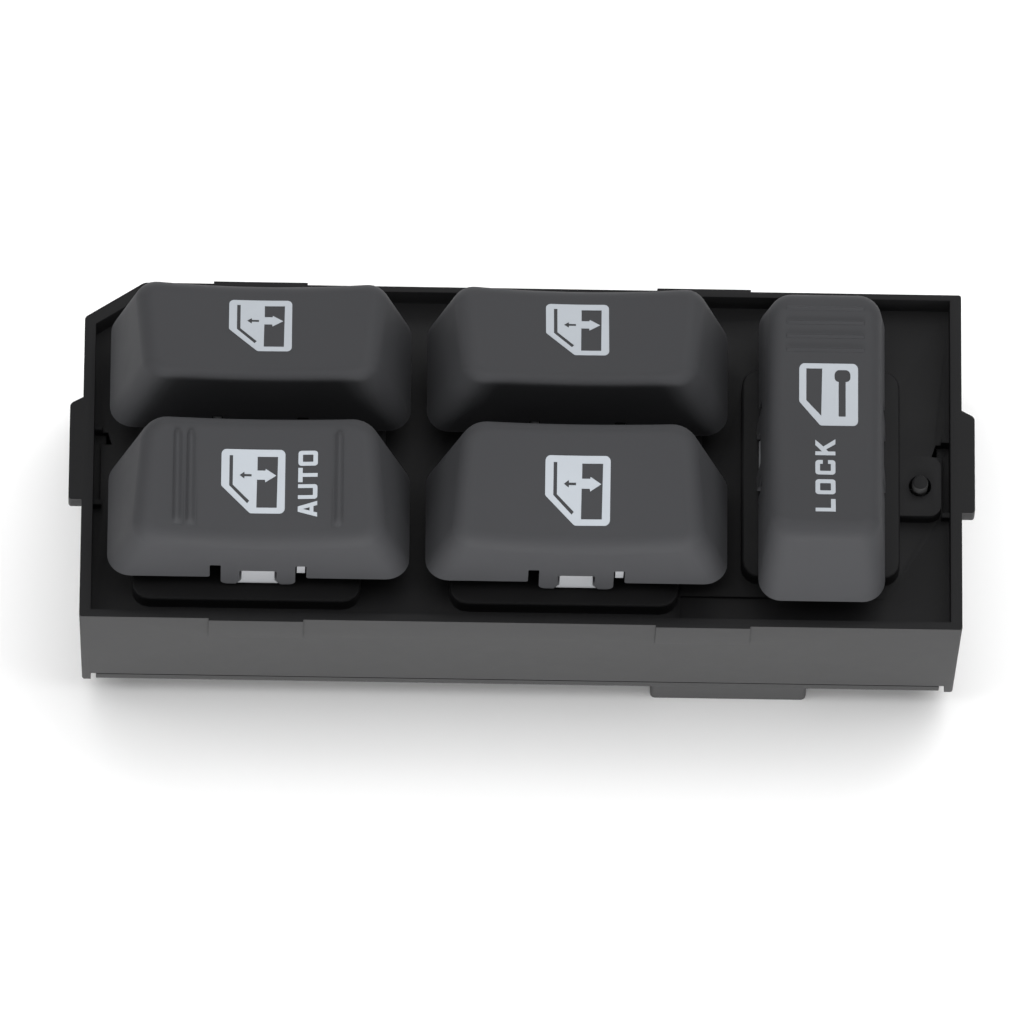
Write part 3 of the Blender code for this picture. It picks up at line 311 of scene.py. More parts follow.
def across(pair, y):
    """The value at y of a size that changes evenly between a cap's long sides."""
    return pair[0] + (pair[1] - pair[0]) * (y / CAP_WIDTH + 0.5)


def dish_share(x):
    """1 in the middle of the dish and 0 at its ends."""
    return 1 - min(1.0, (x / DISH_HALF_LENGTH) ** 2)


def top_level(cap, x, y):
    """Height of a cap's top above its pivot."""
    return across(cap["rises"], y) - PIVOT_RISE - across(cap["dishes"], y) * dish_share(x)


print("middle of a window cap's top:", round(top_level(WINDOW_CAP, 0, 0) * 1000, 2), "mm")

# %% [markdown]
# ## Rounding and dishing a cap
#
# A cap's skin could be sculpted, but its form is plain enough to be worked out: bevel the
# corners, slice the top so that it can bend, bevel the rim, and lower every point by the depth
# of the dish at its place. The bevels have more segments than in the CAD model, so that light
# runs smoothly over them. The skin reaches below the tongues and is cut to shape later.

# %% The skin of a cap
OVERRUN = 0.0010
BEVEL_STEPS = 8
TOP_SLICES = 28
LEVEL = 0.7  # a face lies level when the z of its normal is above this


def bevel(bm, edges, radius, segments):
    """Rounds some edges of a bmesh."""
    bmesh.ops.bevel(
        bm, geom=edges, offset=radius, segments=segments, profile=0.5, affect="EDGES", material=-1
    )


def cap_block(cap):
    """The tapered box of a cap, from just below its tongues to its top edges."""
    bm = bmesh.new()
    bmesh.ops.create_cube(bm, size=1.0)
    for vert in bm.verts:
        side = int(vert.co.y > 0)
        upper = vert.co.z > 0
        lean = cap["insets"][side] / (cap["rises"][side] - SKIRT_RISE)
        vert.co.z = cap["rises"][side] - PIVOT_RISE if upper else TONGUE_END - OVERRUN
        vert.co.x = math.copysign(cap["length"] / 2 - END_TAPER * (vert.co.z - SKIRT), vert.co.x)
        vert.co.y = math.copysign(CAP_WIDTH / 2 - lean * (vert.co.z - SKIRT), vert.co.y)
    return bm


def cap_shell(cap):
    """The cap's outer skin, open below."""
    bm = cap_block(cap)
    corners = [
        edge for edge in bm.edges
        if {vert.co.z > SKIRT + EDGE_RADIUS for vert in edge.verts} == {False, True}
    ]
    bevel(bm, corners, CORNER_RADIUS, BEVEL_STEPS)
    reach = cap["length"] / 2 - END_TAPER * (max(cap["rises"]) - SKIRT_RISE)
    reach -= CORNER_RADIUS + EDGE_RADIUS / 2
    for step in range(TOP_SLICES + 1):
        x = -reach + 2 * reach * step / TOP_SLICES
        whole = bm.verts[:] + bm.edges[:] + bm.faces[:]
        bmesh.ops.bisect_plane(bm, geom=whole, plane_co=(x, 0, 0), plane_no=(1, 0, 0))
    bm.normal_update()
    rim = [
        edge for edge in bm.edges
        if sorted(face.normal.z > LEVEL for face in edge.link_faces) == [False, True]
    ]
    bevel(bm, rim, EDGE_RADIUS, BEVEL_STEPS)
    for vert in bm.verts:
        height = max(0.0, vert.co.z - SKIRT)
        full = across(cap["rises"], vert.co.y) - SKIRT_RISE
        vert.co.z -= across(cap["dishes"], vert.co.y) * dish_share(vert.co.x) * height / full
    bottom = [
        face for face in bm.faces
        if face.calc_center_median().z < TONGUE_END - OVERRUN / 2 and face.normal.z < -LEVEL
    ]
    bmesh.ops.delete(bm, geom=bottom, context="FACES")
    return bm


trial = cap_shell(WINDOW_CAP)
print("faces in a cap's skin:", len(trial.faces))
trial.free()

# %% [markdown]
# ## Cutting and joining
#
# A cap is hollow, with a thin wall. Its details are simple solids: ridges and ribs that are
# joined to the wall, and one profile that is cut through it. They could be modelled into the
# mesh by hand. Booleans keep each detail a few numbers, and the exact solver closes the
# result. The first helpers make those solids.

# %% Prisms
def prism(outline, low, high):
    """A plan outline, anticlockwise from above, raised from low to high."""
    bm = bmesh.new()
    face = bm.faces.new([bm.verts.new((x, y, low)) for x, y in outline])
    raised = bmesh.ops.extrude_face_region(bm, geom=[face], use_keep_orig=True)
    top = [item for item in raised["geom"] if isinstance(item, bmesh.types.BMVert)]
    bmesh.ops.translate(bm, verts=top, vec=(0, 0, high - low))
    bmesh.ops.recalc_face_normals(bm, faces=bm.faces)
    return bm


def sideways_prism(outline, low, high):
    """An outline given as (x, z), raised along Y from low to high."""
    bm = prism([(x, -z) for x, z in reversed(outline)], low, high)
    bmesh.ops.rotate(bm, verts=bm.verts, matrix=Matrix.Rotation(math.radians(-90), 3, "X"))
    bmesh.ops.recalc_face_normals(bm, faces=bm.faces)
    return bm


def gathered(pieces):
    """Several bmeshes in one."""
    whole = bmesh.new()
    for piece in pieces:
        mesh = bpy.data.meshes.new("gathered")
        piece.to_mesh(mesh)
        piece.free()
        whole.from_mesh(mesh)
        bpy.data.meshes.remove(mesh)
    return whole


trial = prism([(0, 0), (1, 0), (0, 1)], 0, 1)
print("faces of a three-sided prism:", len(trial.faces))
trial.free()

# %% [markdown]
# ## Finishing a piece
#
# A Boolean modifier needs a second object as its tool, so each solid becomes one for a moment.
# When all are in place the modifiers are applied at once, by taking the evaluated mesh, and the
# tools are thrown away. The mesh itself is then moved to where the piece is, which leaves the
# object at the origin, where the frame expects it.

# %% Booleans and the finished mesh
SMOOTH_BELOW = 35


def new_object(name, bm):
    """An object in the scene from a bmesh, which is freed."""
    mesh = bpy.data.meshes.new(name)
    bm.to_mesh(mesh)
    bm.free()
    made = bpy.data.objects.new(name, mesh)
    bpy.context.scene.collection.objects.link(made)
    return made


def shape(target, operation, bm):
    """Joins bm to the target or cuts it away."""
    tool = new_object("tool", bm)
    modifier = target.modifiers.new("shape", "BOOLEAN")
    modifier.operation = operation
    modifier.solver = "EXACT"
    modifier.object = tool
    return tool


def finished(target, tools, place, material, smooth=SMOOTH_BELOW):
    """Applies the modifiers, moves the mesh to its place and gives it its material.

    Edges that turn by fewer than smooth degrees are shaded as one surface.
    """
    bpy.context.view_layer.update()
    graph = bpy.context.evaluated_depsgraph_get()
    mesh = bpy.data.meshes.new_from_object(target.evaluated_get(graph))
    mesh.name = target.name
    target.modifiers.clear()
    target.data = mesh
    for tool in tools:
        bpy.data.objects.remove(tool)
    mesh.transform(place)
    mesh.materials.clear()
    mesh.materials.append(material)
    mesh.shade_smooth()
    mesh.set_sharp_from_angle(angle=math.radians(smooth))
    return target


print("edges turn sharp from", SMOOTH_BELOW, "degrees")

# %% [markdown]
# ## Tongues and slits
#
# A snap tongue hangs below each long side of a cap, between two slits that let it spring. The
# carrier's white lug shows through the notch in it. Tongues could be joined to the skirt one by
# one, but thin pieces that share a wall with it trip the solver. All of it is one outline,
# seen from the side: what lies below it is cut away through the whole cap.

# %% The lower edge of a cap
TONGUE_LENGTH, TONGUE_ROUND = 0.0108, 0.0011
RELIEF_WIDTH, RELIEF_RISE = 0.0016, 0.0040
NOTCH_WIDTH, NOTCH_RISE, NOTCH_FLARE, NOTCH_CORNER = 0.0054, 0.0045, 0.00055, 0.0004


def rounded(points, radii, steps=5):
    """A closed outline with each corner rounded by its own radius."""
    outline = []
    for index, (point, radius) in enumerate(zip(points, radii)):
        here = Vector(point)
        before = (Vector(points[index - 1]) - here).normalized()
        after = (Vector(points[(index + 1) % len(points)]) - here).normalized()
        if radius == 0:
            outline.append(here)
            continue
        half = math.acos(max(-1.0, min(1.0, before.dot(after)))) / 2
        reach = radius / math.tan(half)
        centre = here + (before + after).normalized() * radius / math.sin(half)
        start, end = here + before * reach - centre, here + after * reach - centre
        for step in range(steps + 1):
            arm = start.lerp(end, step / steps).normalized() * radius
            outline.append(centre + arm)
    return outline


def below_skirt():
    """All that lies below the skirt, its slits, its tongues and their notches, through the cap."""
    half, notch = TONGUE_LENGTH / 2, NOTCH_WIDTH / 2
    fold, top = TONGUE_END + 2 * NOTCH_FLARE, TONGUE_END + NOTCH_RISE
    right_side = [
        (notch, top, NOTCH_CORNER),
        (notch, fold, 0),
        (notch + NOTCH_FLARE, TONGUE_END, 0),
        (half, TONGUE_END, TONGUE_ROUND),
        (half, SKIRT + RELIEF_RISE, NOTCH_CORNER / 2),
        (half + RELIEF_WIDTH, SKIRT + RELIEF_RISE, NOTCH_CORNER / 2),
        (half + RELIEF_WIDTH, SKIRT, NOTCH_CORNER),
        (CAP_LENGTH, SKIRT, 0),
        (CAP_LENGTH, TONGUE_END - 2 * OVERRUN, 0),
    ]
    corners = right_side + [(-x, z, radius) for x, z, radius in reversed(right_side)]
    outline = rounded([(x, z) for x, z, _ in corners], [radius for _, _, radius in corners])
    return sideways_prism(list(reversed(outline)), -CAP_WIDTH, CAP_WIDTH)


print("tongue", TONGUE_LENGTH * 1000, "mm long")

# %% [markdown]
# ## Grip ridges
#
# The driver's cap has three long ridges, so that a finger finds it without looking. They rise
# softly from the surface, which a bevelled bar wouldn't do. A small grid is bent into a wave
# instead, faded out at both ends, and then given a root that reaches into the wall.

# %% Ridges of the driver's cap
RIDGES = (-0.0119, -0.00995, 0.0115)
RIDGE_WIDTH, RIDGE_RISE, RIDGE_MARGIN = 0.0019, 0.0006, 0.0026
RIDGE_SINK, RIDGE_FADE = 0.00005, 0.0009
RIDGE_ROOT = WALL / 3
RIDGE_ROWS, RIDGE_COLUMNS = 32, 12


def long_ridge(x):
    """A soft bar across a window cap: a wave in section, faded out at both ends."""
    start, end = -CAP_WIDTH / 2 + RIDGE_MARGIN, CAP_WIDTH / 2 - RIDGE_MARGIN
    bm = bmesh.new()
    bmesh.ops.create_grid(bm, x_segments=RIDGE_COLUMNS, y_segments=RIDGE_ROWS, size=0.5)
    for vert in bm.verts:
        along = (vert.co.y + 0.5) * (end - start)
        wave = math.cos(math.pi * vert.co.x) ** 2
        fade = math.sin(min(1.0, min(along, end - start - along) / RIDGE_FADE) * math.pi / 2)
        vert.co.y = start + along
        vert.co.x = x + vert.co.x * RIDGE_WIDTH
        vert.co.z = (RIDGE_RISE + RIDGE_SINK) * wave * fade - RIDGE_SINK
        vert.co.z += top_level(WINDOW_CAP, x, vert.co.y)
    skin = bmesh.ops.extrude_face_region(bm, geom=bm.faces[:])
    lower = [item for item in skin["geom"] if isinstance(item, bmesh.types.BMVert)]
    bmesh.ops.translate(bm, verts=lower, vec=(0, 0, -RIDGE_ROOT))
    bmesh.ops.recalc_face_normals(bm, faces=bm.faces)
    return bm


print("grip ridge", RIDGE_WIDTH * 1000, "mm wide")

# %% [markdown]
# ## Fine ribs
#
# The lock cap has four fine ribs at its back end, where a finger pushes it. They are too small
# to show their own rounding, so each is a prism with a roof-shaped section, and they are joined
# to the cap in one go.

# %% Ribs of the lock cap
RIB_HALF, RIB_RISE, RIB_REACH = 0.00035, 0.0002, 0.0056
RIB_COUNT, RIB_PITCH, RIB_END = 4, 0.00205, 0.0024


def lock_ribs():
    """Fine ribs across the lock cap's back end."""
    last = LOCK_CAP["length"] / 2 - END_TAPER * (LOCK_CAP["rises"][0] - SKIRT_RISE) - RIB_END
    outline = [
        (-RIB_HALF, -2 * RIB_RISE), (RIB_HALF, -2 * RIB_RISE), (RIB_HALF, 0), (0, RIB_RISE),
        (-RIB_HALF, 0),
    ]
    ribs = []
    for number in range(RIB_COUNT):
        x = last - number * RIB_PITCH
        rib = sideways_prism(outline, -RIB_REACH, RIB_REACH)
        bmesh.ops.translate(rib, verts=rib.verts, vec=(x, 0, top_level(LOCK_CAP, x, 0)))
        ribs.append(rib)
    return gathered(ribs)


print("ribs", RIB_PITCH * 1000, "mm apart")

# %% [markdown]
# ## The five caps
#
# All five caps come from one recipe, as they would from similar moulds. The wall comes from
# Solidify, the ridges or ribs are joined, and the profile below the skirt is cut last, so that
# it goes cleanly through everything. Each cap takes the place of its CAD node and rides on the
# rocker's body.

# %% Making the caps
def make_cap(name):
    """The cap of one rocker, in its place."""
    cap = caps[name]
    moulding = new_object(name + "_cap_moulding", cap_shell(cap))
    wall = moulding.modifiers.new("wall", "SOLIDIFY")
    wall.thickness = WALL
    wall.offset = -1
    wall.use_even_offset = True
    tools = []
    if name == "driver":
        tools.append(shape(moulding, "UNION", gathered([long_ridge(x) for x in RIDGES])))
    if name == "lock":
        tools.append(shape(moulding, "UNION", lock_ribs()))
    tools.append(shape(moulding, "DIFFERENCE", below_skirt()))
    finished(moulding, tools, places[name], cap_grey)
    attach(moulding, name + "_rocker")
    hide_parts(name + "_cap")
    return moulding


for name in TURNS:
    made = make_cap(name)
    print(made.name, len(made.data.polygons), "faces")

# %% [markdown]
# ## Printed symbols
#
# Each symbol is a coat of ink, printed on the cap's dished top. It could be a picture on the
# surface, but a solid coat stays crisp from near and needs no image. It is drawn flat as a
# filled curve, because a filled curve takes holes, and given a hair of thickness. Then it is
# cut into a fine grid so that it can bend, and each of its points is dropped onto the cap.

# %% Drawing in ink
INK = 0.00004
GRID = 0.0006


def inked(name, outlines):
    """A flat print of filled outlines with holes, thick as a coat of ink, as a bmesh."""
    curve = bpy.data.curves.new(name, "CURVE")
    curve.dimensions = "2D"
    curve.fill_mode = "BOTH"
    curve.extrude = INK / 2
    for outline in outlines:
        line = curve.splines.new("POLY")
        line.points.add(len(outline) - 1)
        for point, place in zip(line.points, outline):
            point.co = (place[0], place[1], 0, 1)
        line.use_cyclic_u = True
    holder = bpy.data.objects.new(name, curve)
    bpy.context.scene.collection.objects.link(holder)
    bpy.context.view_layer.update()
    graph = bpy.context.evaluated_depsgraph_get()
    mesh = bpy.data.meshes.new_from_object(holder.evaluated_get(graph))
    bpy.data.objects.remove(holder)
    bm = bmesh.new()
    bm.from_mesh(mesh)
    bmesh.ops.remove_doubles(bm, verts=bm.verts, dist=INK / 10)
    bmesh.ops.recalc_face_normals(bm, faces=bm.faces)
    return bm


def laid_on(cap, bm):
    """Cuts a flat print into a grid and drops each of its points onto a cap."""
    for axis in (0, 1):
        values = [vert.co[axis] for vert in bm.verts]
        place = min(values) + GRID
        while place < max(values):
            point, normal = Vector(), Vector()
            point[axis], normal[axis] = place, 1
            whole = bm.verts[:] + bm.edges[:] + bm.faces[:]
            bmesh.ops.bisect_plane(bm, geom=whole, plane_co=point, plane_no=normal)
            place += GRID
    bpy.context.view_layer.update()
    for vert in bm.verts:
        above = Vector((vert.co.x, vert.co.y, 1))
        spot = cap.ray_cast(above, Vector((0, 0, -1)))[1]
        vert.co.z += INK / 2 + spot.z
    return bm


print("ink", INK * 1e6, "micrometres")

# %% [markdown]
# ## The symbols
#
# A window symbol shows a pane, half down, in a door frame, with two arrows for its travel. The
# lock symbol shows a pane and a lock knob. Both are plain polygons in a square from 0 to 1, so
# that one drawing serves caps on which the print has different sizes.

# %% Symbols, drawn in a unit square
def window_symbol():
    """A door frame with its pane half down, and arrows for its travel."""
    frame_line = rounded(
        [(0, 1), (0, 0.425), (0.455, 0), (1, 0), (1, 1)], [0.08, 0.05, 0.06, 0.08, 0.08]
    )
    pane = [
        (0.565, 0.89), (0.565, 0.672), (0.69, 0.672), (0.695, 0.70), (0.86, 0.595), (0.69, 0.49),
        (0.685, 0.53), (0.56, 0.53), (0.555, 0.09), (0.875, 0.09), (0.885, 0.89),
    ]
    channel = [
        (0.126, 0.905), (0.126, 0.43), (0.41, 0.155), (0.445, 0.195), (0.181, 0.445),
        (0.181, 0.905),
    ]
    arrow = [
        (0.285, 0.596), (0.36, 0.65), (0.365, 0.615), (0.475, 0.615), (0.475, 0.577),
        (0.365, 0.577), (0.36, 0.542),
    ]
    return [frame_line, pane, channel, arrow]


def lock_symbol():
    """A door frame with its pane at the left and a lock knob at the right."""
    frame_line = rounded(
        [(0, 1), (0, 0.39), (0.36, 0), (1, 0), (1, 1)], [0.09, 0.05, 0.06, 0.08, 0.09]
    )
    pane = [(0.12, 0.92), (0.12, 0.41), (0.375, 0.16), (0.39, 0.92)]
    knob = rounded(
        [(0.60, 0.90), (0.60, 0.71), (0.67, 0.71), (0.67, 0.15), (0.79, 0.15), (0.79, 0.71),
         (0.87, 0.71), (0.87, 0.90)],
        [0.08, 0.07, 0, 0.01, 0.01, 0, 0.07, 0.08],
    )
    return [frame_line, pane, knob]


def placed(outlines, centre, size):
    """Scales outlines from the unit square to size about centre."""
    made = []
    for outline in outlines:
        points = [Vector(((x - 0.5) * size[0], (y - 0.5) * size[1])) for x, y in outline]
        made.append([(centre[0] + point.x, centre[1] + point.y) for point in points])
    return made


print("outlines in a window symbol:", len(window_symbol()))

# %% [markdown]
# ## Block letters
#
# The words AUTO and LOCK are printed in a wide block type with one stroke width. A font would
# bring its own shapes along, so each of the seven letters is drawn here, one unit high: its
# width, then its outer line, then its holes.

# %% Letters, one unit high
STROKE = 0.23
TOP_BAR = 1 - STROKE
LETTERS = {
    "A": (1.0, [
        [(0, 0), (0.34, 1), (0.66, 1), (1, 0), (0.74, 0), (0.68, 0.19), (0.32, 0.19), (0.26, 0)],
        [(0.39, 0.39), (0.61, 0.39), (0.5, 0.74)],
    ]),
    "U": (0.92, [rounded(
        [(0, 1), (0, 0), (0.92, 0), (0.92, 1), (0.69, 1), (0.69, STROKE), (STROKE, STROKE),
         (STROKE, 1)],
        [0, 0.16, 0.16, 0, 0, 0.04, 0.04, 0],
    )]),
    "T": (0.90, [
        [(0, 1), (0, TOP_BAR), (0.335, TOP_BAR), (0.335, 0), (0.565, 0), (0.565, TOP_BAR),
         (0.90, TOP_BAR), (0.90, 1)],
    ]),
    "O": (0.94, [
        rounded([(0, 1), (0, 0), (0.94, 0), (0.94, 1)], [0.17] * 4),
        rounded([(0.24, TOP_BAR), (0.24, STROKE), (0.70, STROKE), (0.70, TOP_BAR)], [0.04] * 4),
    ]),
    "L": (0.80, [[(0, 1), (0, 0), (0.80, 0), (0.80, STROKE), (STROKE, STROKE), (STROKE, 1)]]),
    "C": (0.90, [rounded(
        [(0, 1), (0, 0), (0.90, 0), (0.90, 0.37), (0.67, 0.37), (0.67, STROKE), (STROKE, STROKE),
         (STROKE, TOP_BAR), (0.67, TOP_BAR), (0.67, 0.63), (0.90, 0.63), (0.90, 1)],
        [0.17, 0.17, 0.17, 0, 0, 0.03, 0.04, 0.04, 0.03, 0, 0, 0.17],
    )]),
    "K": (0.98, [
        [(0, 1), (0, 0), (STROKE, 0), (STROKE, 0.36), (0.36, 0.46), (0.68, 0), (0.98, 0),
         (0.53, 0.60), (0.94, 1), (0.62, 1), (STROKE, 0.66), (STROKE, 1)],
    ]),
}


def word(text, height, length, gap):
    """A word as outlines, centred on the origin, with a stated height and length."""
    widths = [LETTERS[letter][0] for letter in text]
    stretch = length / (sum(widths) + gap * (len(text) - 1))
    outlines, start = [], -length / 2
    for letter, width in zip(text, widths):
        for outline in LETTERS[letter][1]:
            outlines.append([(start + x * stretch, (y - 0.5) * height) for x, y in outline])
        start += (width + gap) * stretch
    return outlines


print("letters", sorted(LETTERS))

# %% [markdown]
# ## The prints on the caps
#
# All symbols face the same way, also on the rear caps, which are turned half round. So a print
# is placed as the camera sees it, by its centre from the cap's pivot and its size. The words
# run towards the back of the tray. Each print rides on the rocker's body, as its cap does.

# %% Symbols and words in their places
# For each cap: the drawing, its centre and its size.
SYMBOLS = {
    "driver": (window_symbol, (-0.00092, -0.00032), (0.00922, 0.00870)),
    "passenger": (window_symbol, (-0.00017, -0.00089), (0.00941, 0.00954)),
    "rear_left": (window_symbol, (-0.00019, 0.00087), (0.00913, 0.00959)),
    "rear_right": (window_symbol, (-0.00034, 0.00105), (0.00913, 0.00959)),
    "lock": (lock_symbol, (0.0005, 0.00347), (0.00852, 0.00969)),
}
# For each cap: the word, its centre, its height, its length, and the gap between its letters in
# the unit of their widths.
WORDS = {
    "driver": ("AUTO", (0.00697, -0.00062), 0.0028, 0.00905, 0.14),
    "lock": ("LOCK", (0.00002, -0.00957), 0.0029, 0.01200, 0.30),
}


def printed(piece_name, cap_name, outlines):
    """Makes a print from outlines that are drawn as the camera sees them, about the cap's pivot."""
    pivot = places[cap_name].translation.xy
    flat = inked(piece_name, [[Vector(point) + pivot for point in outline] for outline in outlines])
    bm = laid_on(bpy.data.objects[cap_name + "_cap_moulding"], flat)
    made = finished(new_object(piece_name, bm), [], Matrix(), print_ink)
    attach(made, cap_name + "_rocker")
    return made


for name, (drawing, centre, size) in SYMBOLS.items():
    made = printed(name + "_symbol", name, placed(drawing(), centre, size))
    print(made.name, len(made.data.polygons), "faces")
upwards = Matrix.Rotation(math.radians(90), 2)
for name, (text, centre, height, length, gap) in WORDS.items():
    outlines = [[upwards @ Vector(point) + Vector(centre) for point in outline]
                for outline in word(text, height, length, gap)]
    made = printed(name + "_lettering", name, outlines)
    print(made.name, len(made.data.polygons), "faces")

# %% [markdown]
# ## The tray and its cover
#
# The CAD solids have knife-sharp edges, and real mouldings never do. A copy of each solid is
# merged, its flat facets are joined back into whole faces, and a small bevel breaks the edges so
# that they catch the light. The housing also has wider rounds, along the tops of the platforms
# under the rockers, at the ends of the snap lugs and down the tray's outer corners. Its outer
# walls get a lighter grey finish of their own, which is a painted reflection of the white floor
# on the same black plastic. The copy stands for its CAD node and rides on the same body.
#
# The wider rounds come first. Picking edges by hand would break when the frame changes, so
# each kind is found by what it is: where it lies, which way it runs, and how its faces look.

# %% Wider rounds of the housing
PLATFORM_TOP, PLATFORM_ROUND = 0.0272, 0.00038
SNAP_END, SNAP_ROUND = 0.0659, 0.0005
CORNER_ROUND, CORNER_DROP = 0.0004, 0.010
ROUND_STEPS = 4
SAME_PLACE = 1e-5


def on_platform_rim(edge):
    """Tells whether an edge runs round the top of a platform, on its outer side."""
    if not edge.is_convex or any(abs(vert.co.z - PLATFORM_TOP) > SAME_PLACE for vert in edge.verts):
        return False
    middle = (edge.verts[0].co + edge.verts[1].co) / 2
    arms = [middle.xy - place.translation.xy for place in places.values()]
    away = min(arms, key=lambda arm: arm.length)
    return any(face.normal.xy.dot(away) > 0 for face in edge.link_faces)


def at_snap_end(edge):
    """Tells whether an edge stands upright at the outer end of a snap lug."""
    low, high = (vert.co for vert in edge.verts)
    return abs(abs(low.x) - SNAP_END) < SAME_PLACE and (low.xy - high.xy).length < SAME_PLACE


def at_tray_corner(edge):
    """Tells whether an edge runs from the rim down an outer corner of the tray."""
    low, high = sorted((vert.co for vert in edge.verts), key=lambda spot: spot.z)
    if not edge.is_convex or abs(high.z - RIM_OF_TRAY) > SAME_PLACE or high.z - low.z < CORNER_DROP:
        return False
    return all(face.normal.xy.dot(high.xy) > 0 for face in edge.link_faces)


def round_housing(bm):
    """Rounds the housing's platforms, snap lugs and outer corners."""
    bevel(bm, [edge for edge in bm.edges if on_platform_rim(edge)], PLATFORM_ROUND, ROUND_STEPS)
    bevel(bm, [edge for edge in bm.edges if at_snap_end(edge)], SNAP_ROUND, ROUND_STEPS)
    corners = [edge for edge in bm.edges if at_tray_corner(edge)]
    bevel(bm, corners, CORNER_ROUND, ROUND_STEPS)
    print("rounded corners of the tray:", len(corners))


print("platform edges rounded to", PLATFORM_ROUND * 1000, "mm")

# %% [markdown]
# ## Outer walls with a painted reflection
#
# A face belongs to the outside when it stands upright and nothing of the same moulding is in
# front of it. A ray that starts on the face and runs level outwards tells that, and it works
# for any outline of the tray, where a box around it would miss the cut corner.

# %% Finding the outer walls
UPRIGHT = 0.8  # a face stands upright when its normal's level part is longer than this


def paint_reflection_outside(moulding):
    """Gives the upright faces that look away from the tray a lighter, rougher finish: a painted
    reflection of the white floor.
    """
    moulding.data.materials.append(painted_reflection_wall)
    bm = bmesh.new()
    bm.from_mesh(moulding.data)
    tree = BVHTree.FromBMesh(bm)
    for face in bm.faces:
        spot = face.calc_center_median()
        outward = Vector((face.normal.x, face.normal.y, 0))
        if outward.length > UPRIGHT and spot.z < RIM_OF_TRAY:
            hit = tree.ray_cast(spot + outward * SAME_PLACE, outward)[0]
            face.material_index = int(hit is None)
    bm.to_mesh(moulding.data)
    bm.free()


print("outer walls:", painted_reflection_wall.name)

# %% [markdown]
# ## Softened edges
#
# The same small round goes on every sharp edge of the housing, the base plate and the levers.
# A Bevel modifier that is limited by angle finds those edges by itself. It needs whole faces,
# so the facets of the CAD mesh are joined back first.

# %% Softening the edges of a CAD solid
EDGE_BREAK, EDGE_BREAK_STEPS = 0.00012, 2
SHARP_FROM = 35
FLAT_WITHIN = 1
SAME_POINT = 1e-6
SMOOTH_SOLIDS_BELOW = 45


def softened(node, body, material):
    """A copy of a CAD node with its sharp edges broken."""
    bm = bmesh.new()
    bm.from_mesh(frame["nodes"][node].data)
    bmesh.ops.remove_doubles(bm, verts=bm.verts, dist=SAME_POINT)
    bmesh.ops.dissolve_limit(
        bm, angle_limit=math.radians(FLAT_WITHIN), verts=bm.verts, edges=bm.edges,
        delimit={"NORMAL"},
    )
    if node == "housing":
        round_housing(bm)
    made = new_object(node + "_moulding", bm)
    edge = made.modifiers.new("edge", "BEVEL")
    edge.width = EDGE_BREAK
    edge.segments = EDGE_BREAK_STEPS
    edge.limit_method = "ANGLE"
    edge.angle_limit = math.radians(SHARP_FROM)
    edge.use_clamp_overlap = True
    finished(made, [], Matrix(), material, smooth=SMOOTH_SOLIDS_BELOW)
    # The outer walls get their painted reflection of the floor.
    if material == tray_black:
        paint_reflection_outside(made)
    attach(made, body)
    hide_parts(node)
    return made


for node in ("housing", "base_plate"):
    made = softened(node, "tray", tray_black)
    print(made.name, len(made.data.polygons), "faces")
for name in TURNS:
    made = softened(name + "_carrier", name + "_rocker", carrier_white)
    print(made.name, len(made.data.polygons), "faces")

# %% [markdown]
# ## The pieces that stay as they are
#
# The board, pins, springs, plungers and contacts already have their true shape in the CAD
# model, so they only get their finishes. A CAD node's mesh is never changed: the material goes
# into the object's own slot.

# %% Finishes of the carried-over nodes
FINISHES = {
    "circuit_board": board_green, "plunger": plunger_white, "spring": spring_steel,
    "connector_pin": contact_brass, "seesaw": contact_brass, "fulcrum": contact_brass,
    "contact": contact_brass,
}
count = 0
for node, holder in frame["nodes"].items():
    for part, material in FINISHES.items():
        if part in node and not holder.hide_render:
            if not holder.material_slots:
                holder.data.materials.append(None)
            for slot in holder.material_slots:
                slot.link = "OBJECT"
                slot.material = material
            count += 1
print("nodes with a new finish:", count)

# %% [markdown]
# ## The background's rays
#
# The switch was photographed on pure white. More light would whiten the paper, but it would
# also bleach the plastic. A ray knows what it is for: some rays show things to the camera, at
# once or by way of a shiny or clear surface, and the others only carry light. The helper tells
# them apart, so that the background can look brighter than it shines.

# %% Telling the rays apart
def background_rays(nodes, links):
    """A value that is 1 for the rays that show the background, and 0 for those that only light."""
    ray = nodes.new("ShaderNodeLightPath")
    value = ray.outputs["Is Camera Ray"]
    for kind in ("Is Glossy Ray", "Is Transmission Ray"):
        either = nodes.new("ShaderNodeMath")
        either.operation = "MAXIMUM"
        links.new(value, either.inputs[0])
        links.new(ray.outputs[kind], either.inputs[1])
        value = either.outputs["Value"]
    return value


print("helper for the background:", background_rays.__name__)

# %% [markdown]
# ## The floor
#
# The switch lies on a wide sheet of white paper. The sheet is nearly white by its own colour,
# and a faint glow for the background's rays brings it up to paper white, while the shadow of
# the switch stays. It is part of the stage and not of the switch.

# %% Floor
FLOOR_SIZE = 4.0
PAPER_WHITE, PAPER_ROUGHNESS, PAPER_GLOW = 0.95, 0.9, 0.06

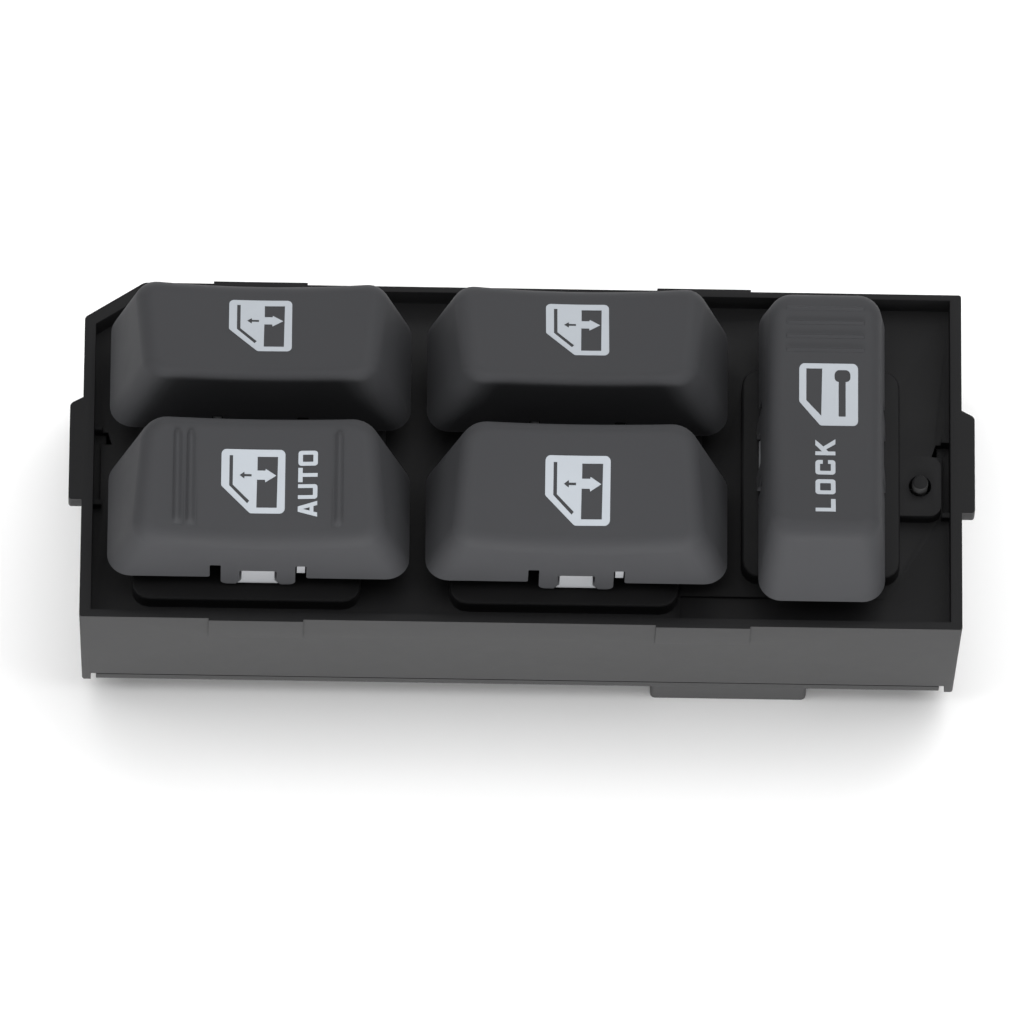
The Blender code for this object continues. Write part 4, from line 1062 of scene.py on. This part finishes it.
bpy.ops.mesh.primitive_plane_add(size=FLOOR_SIZE, location=(0, 0, 0))
floor = bpy.context.object
floor.name = "floor"
paper, nodes, links, surface = new_material("paper")
surface.inputs["Base Color"].default_value = (PAPER_WHITE, PAPER_WHITE, PAPER_WHITE, 1)
surface.inputs["Roughness"].default_value = PAPER_ROUGHNESS
surface.inputs["Specular IOR Level"].default_value = 0.0
glow = nodes.new("ShaderNodeEmission")
links.new(background_rays(nodes, links), glow.inputs["Strength"])
glow.inputs["Color"].default_value = (PAPER_GLOW, PAPER_GLOW, PAPER_GLOW, 1)
both = nodes.new("ShaderNodeAddShader")
links.new(surface.outputs["BSDF"], both.inputs[0])
links.new(glow.outputs["Emission"], both.inputs[1])
links.new(both.outputs["Shader"], nodes["Material Output"].inputs["Surface"])
floor.data.materials.append(paper)
print("floor at", floor.location.z)

# %% [markdown]
# ## The world
#
# A photo tent is white all round. The world is that tent: white where it is seen or mirrored,
# and dim as a source of light, so that the lamps decide how bright each side is.

# %% World
TENT_LIGHT, TENT_SEEN = 0.06, 1.0

world = bpy.data.worlds.new("studio")
bpy.context.scene.world = world
world.use_nodes = True
nodes, links = world.node_tree.nodes, world.node_tree.links
sky = nodes["Background"]
sky.inputs["Color"].default_value = (1, 1, 1, 1)
rays = background_rays(nodes, links)
strength = ranged(nodes, links, rays, WHOLE_RANGE, (TENT_LIGHT, TENT_SEEN))
links.new(strength, sky.inputs["Strength"])
print("world", world.name)

# %% [markdown]
# ## The lamps
#
# In the photograph the front faces of the caps are paler than their tops, and the shadow falls
# to the front. So a long, low light stands in front, which grazes the tops, and a large soft
# one hangs overhead, a little behind. Lamps at the sides and behind keep the ends and the back
# from going black. Softboxes are used because points of light would leave hard highlights.

# %% Softboxes
LAMP_DISTANCE = 0.9
LAMPS = {
    "front_low": {"azimuth": 0, "elevation": 5.5, "size": (1.2, 0.15), "power": 14.5},
    "overhead": {"azimuth": 180, "elevation": 82, "size": (0.8, 0.8), "power": 2.9},
    "left_high": {"azimuth": -90, "elevation": 50, "size": (0.6, 0.6), "power": 2.8},
    "right_high": {"azimuth": 90, "elevation": 50, "size": (0.6, 0.6), "power": 2.5},
    "back_left": {"azimuth": -155, "elevation": 50, "size": (0.6, 0.6), "power": 1.8},
    "back_right": {"azimuth": 150, "elevation": 48, "size": (0.6, 0.6), "power": 3.6},
}


def softbox(name, azimuth, elevation, size, power):
    """A rectangular area light that faces the tray; azimuth 0 is in front and 90 at the right."""
    made = bpy.data.objects.new(name, bpy.data.lights.new(name, "AREA"))
    bpy.context.scene.collection.objects.link(made)
    made.data.shape = "RECTANGLE"
    made.data.size, made.data.size_y = size
    made.data.energy = power
    round_by, raised_by = math.radians(azimuth), math.radians(elevation)
    place = LAMP_DISTANCE * Vector((
        math.sin(round_by) * math.cos(raised_by),
        -math.cos(round_by) * math.cos(raised_by),
        math.sin(raised_by),
    ))
    facing = (-place).to_track_quat("-Z", "Y").to_matrix().to_4x4()
    made.matrix_world = Matrix.Translation(place) @ facing


for name, lamp in LAMPS.items():
    softbox(name, **lamp)

# %% [markdown]
# ## View
#
# Colours are shown as they are written, with no film look.

# %% View
bpy.context.scene.view_settings.view_transform = "Standard"
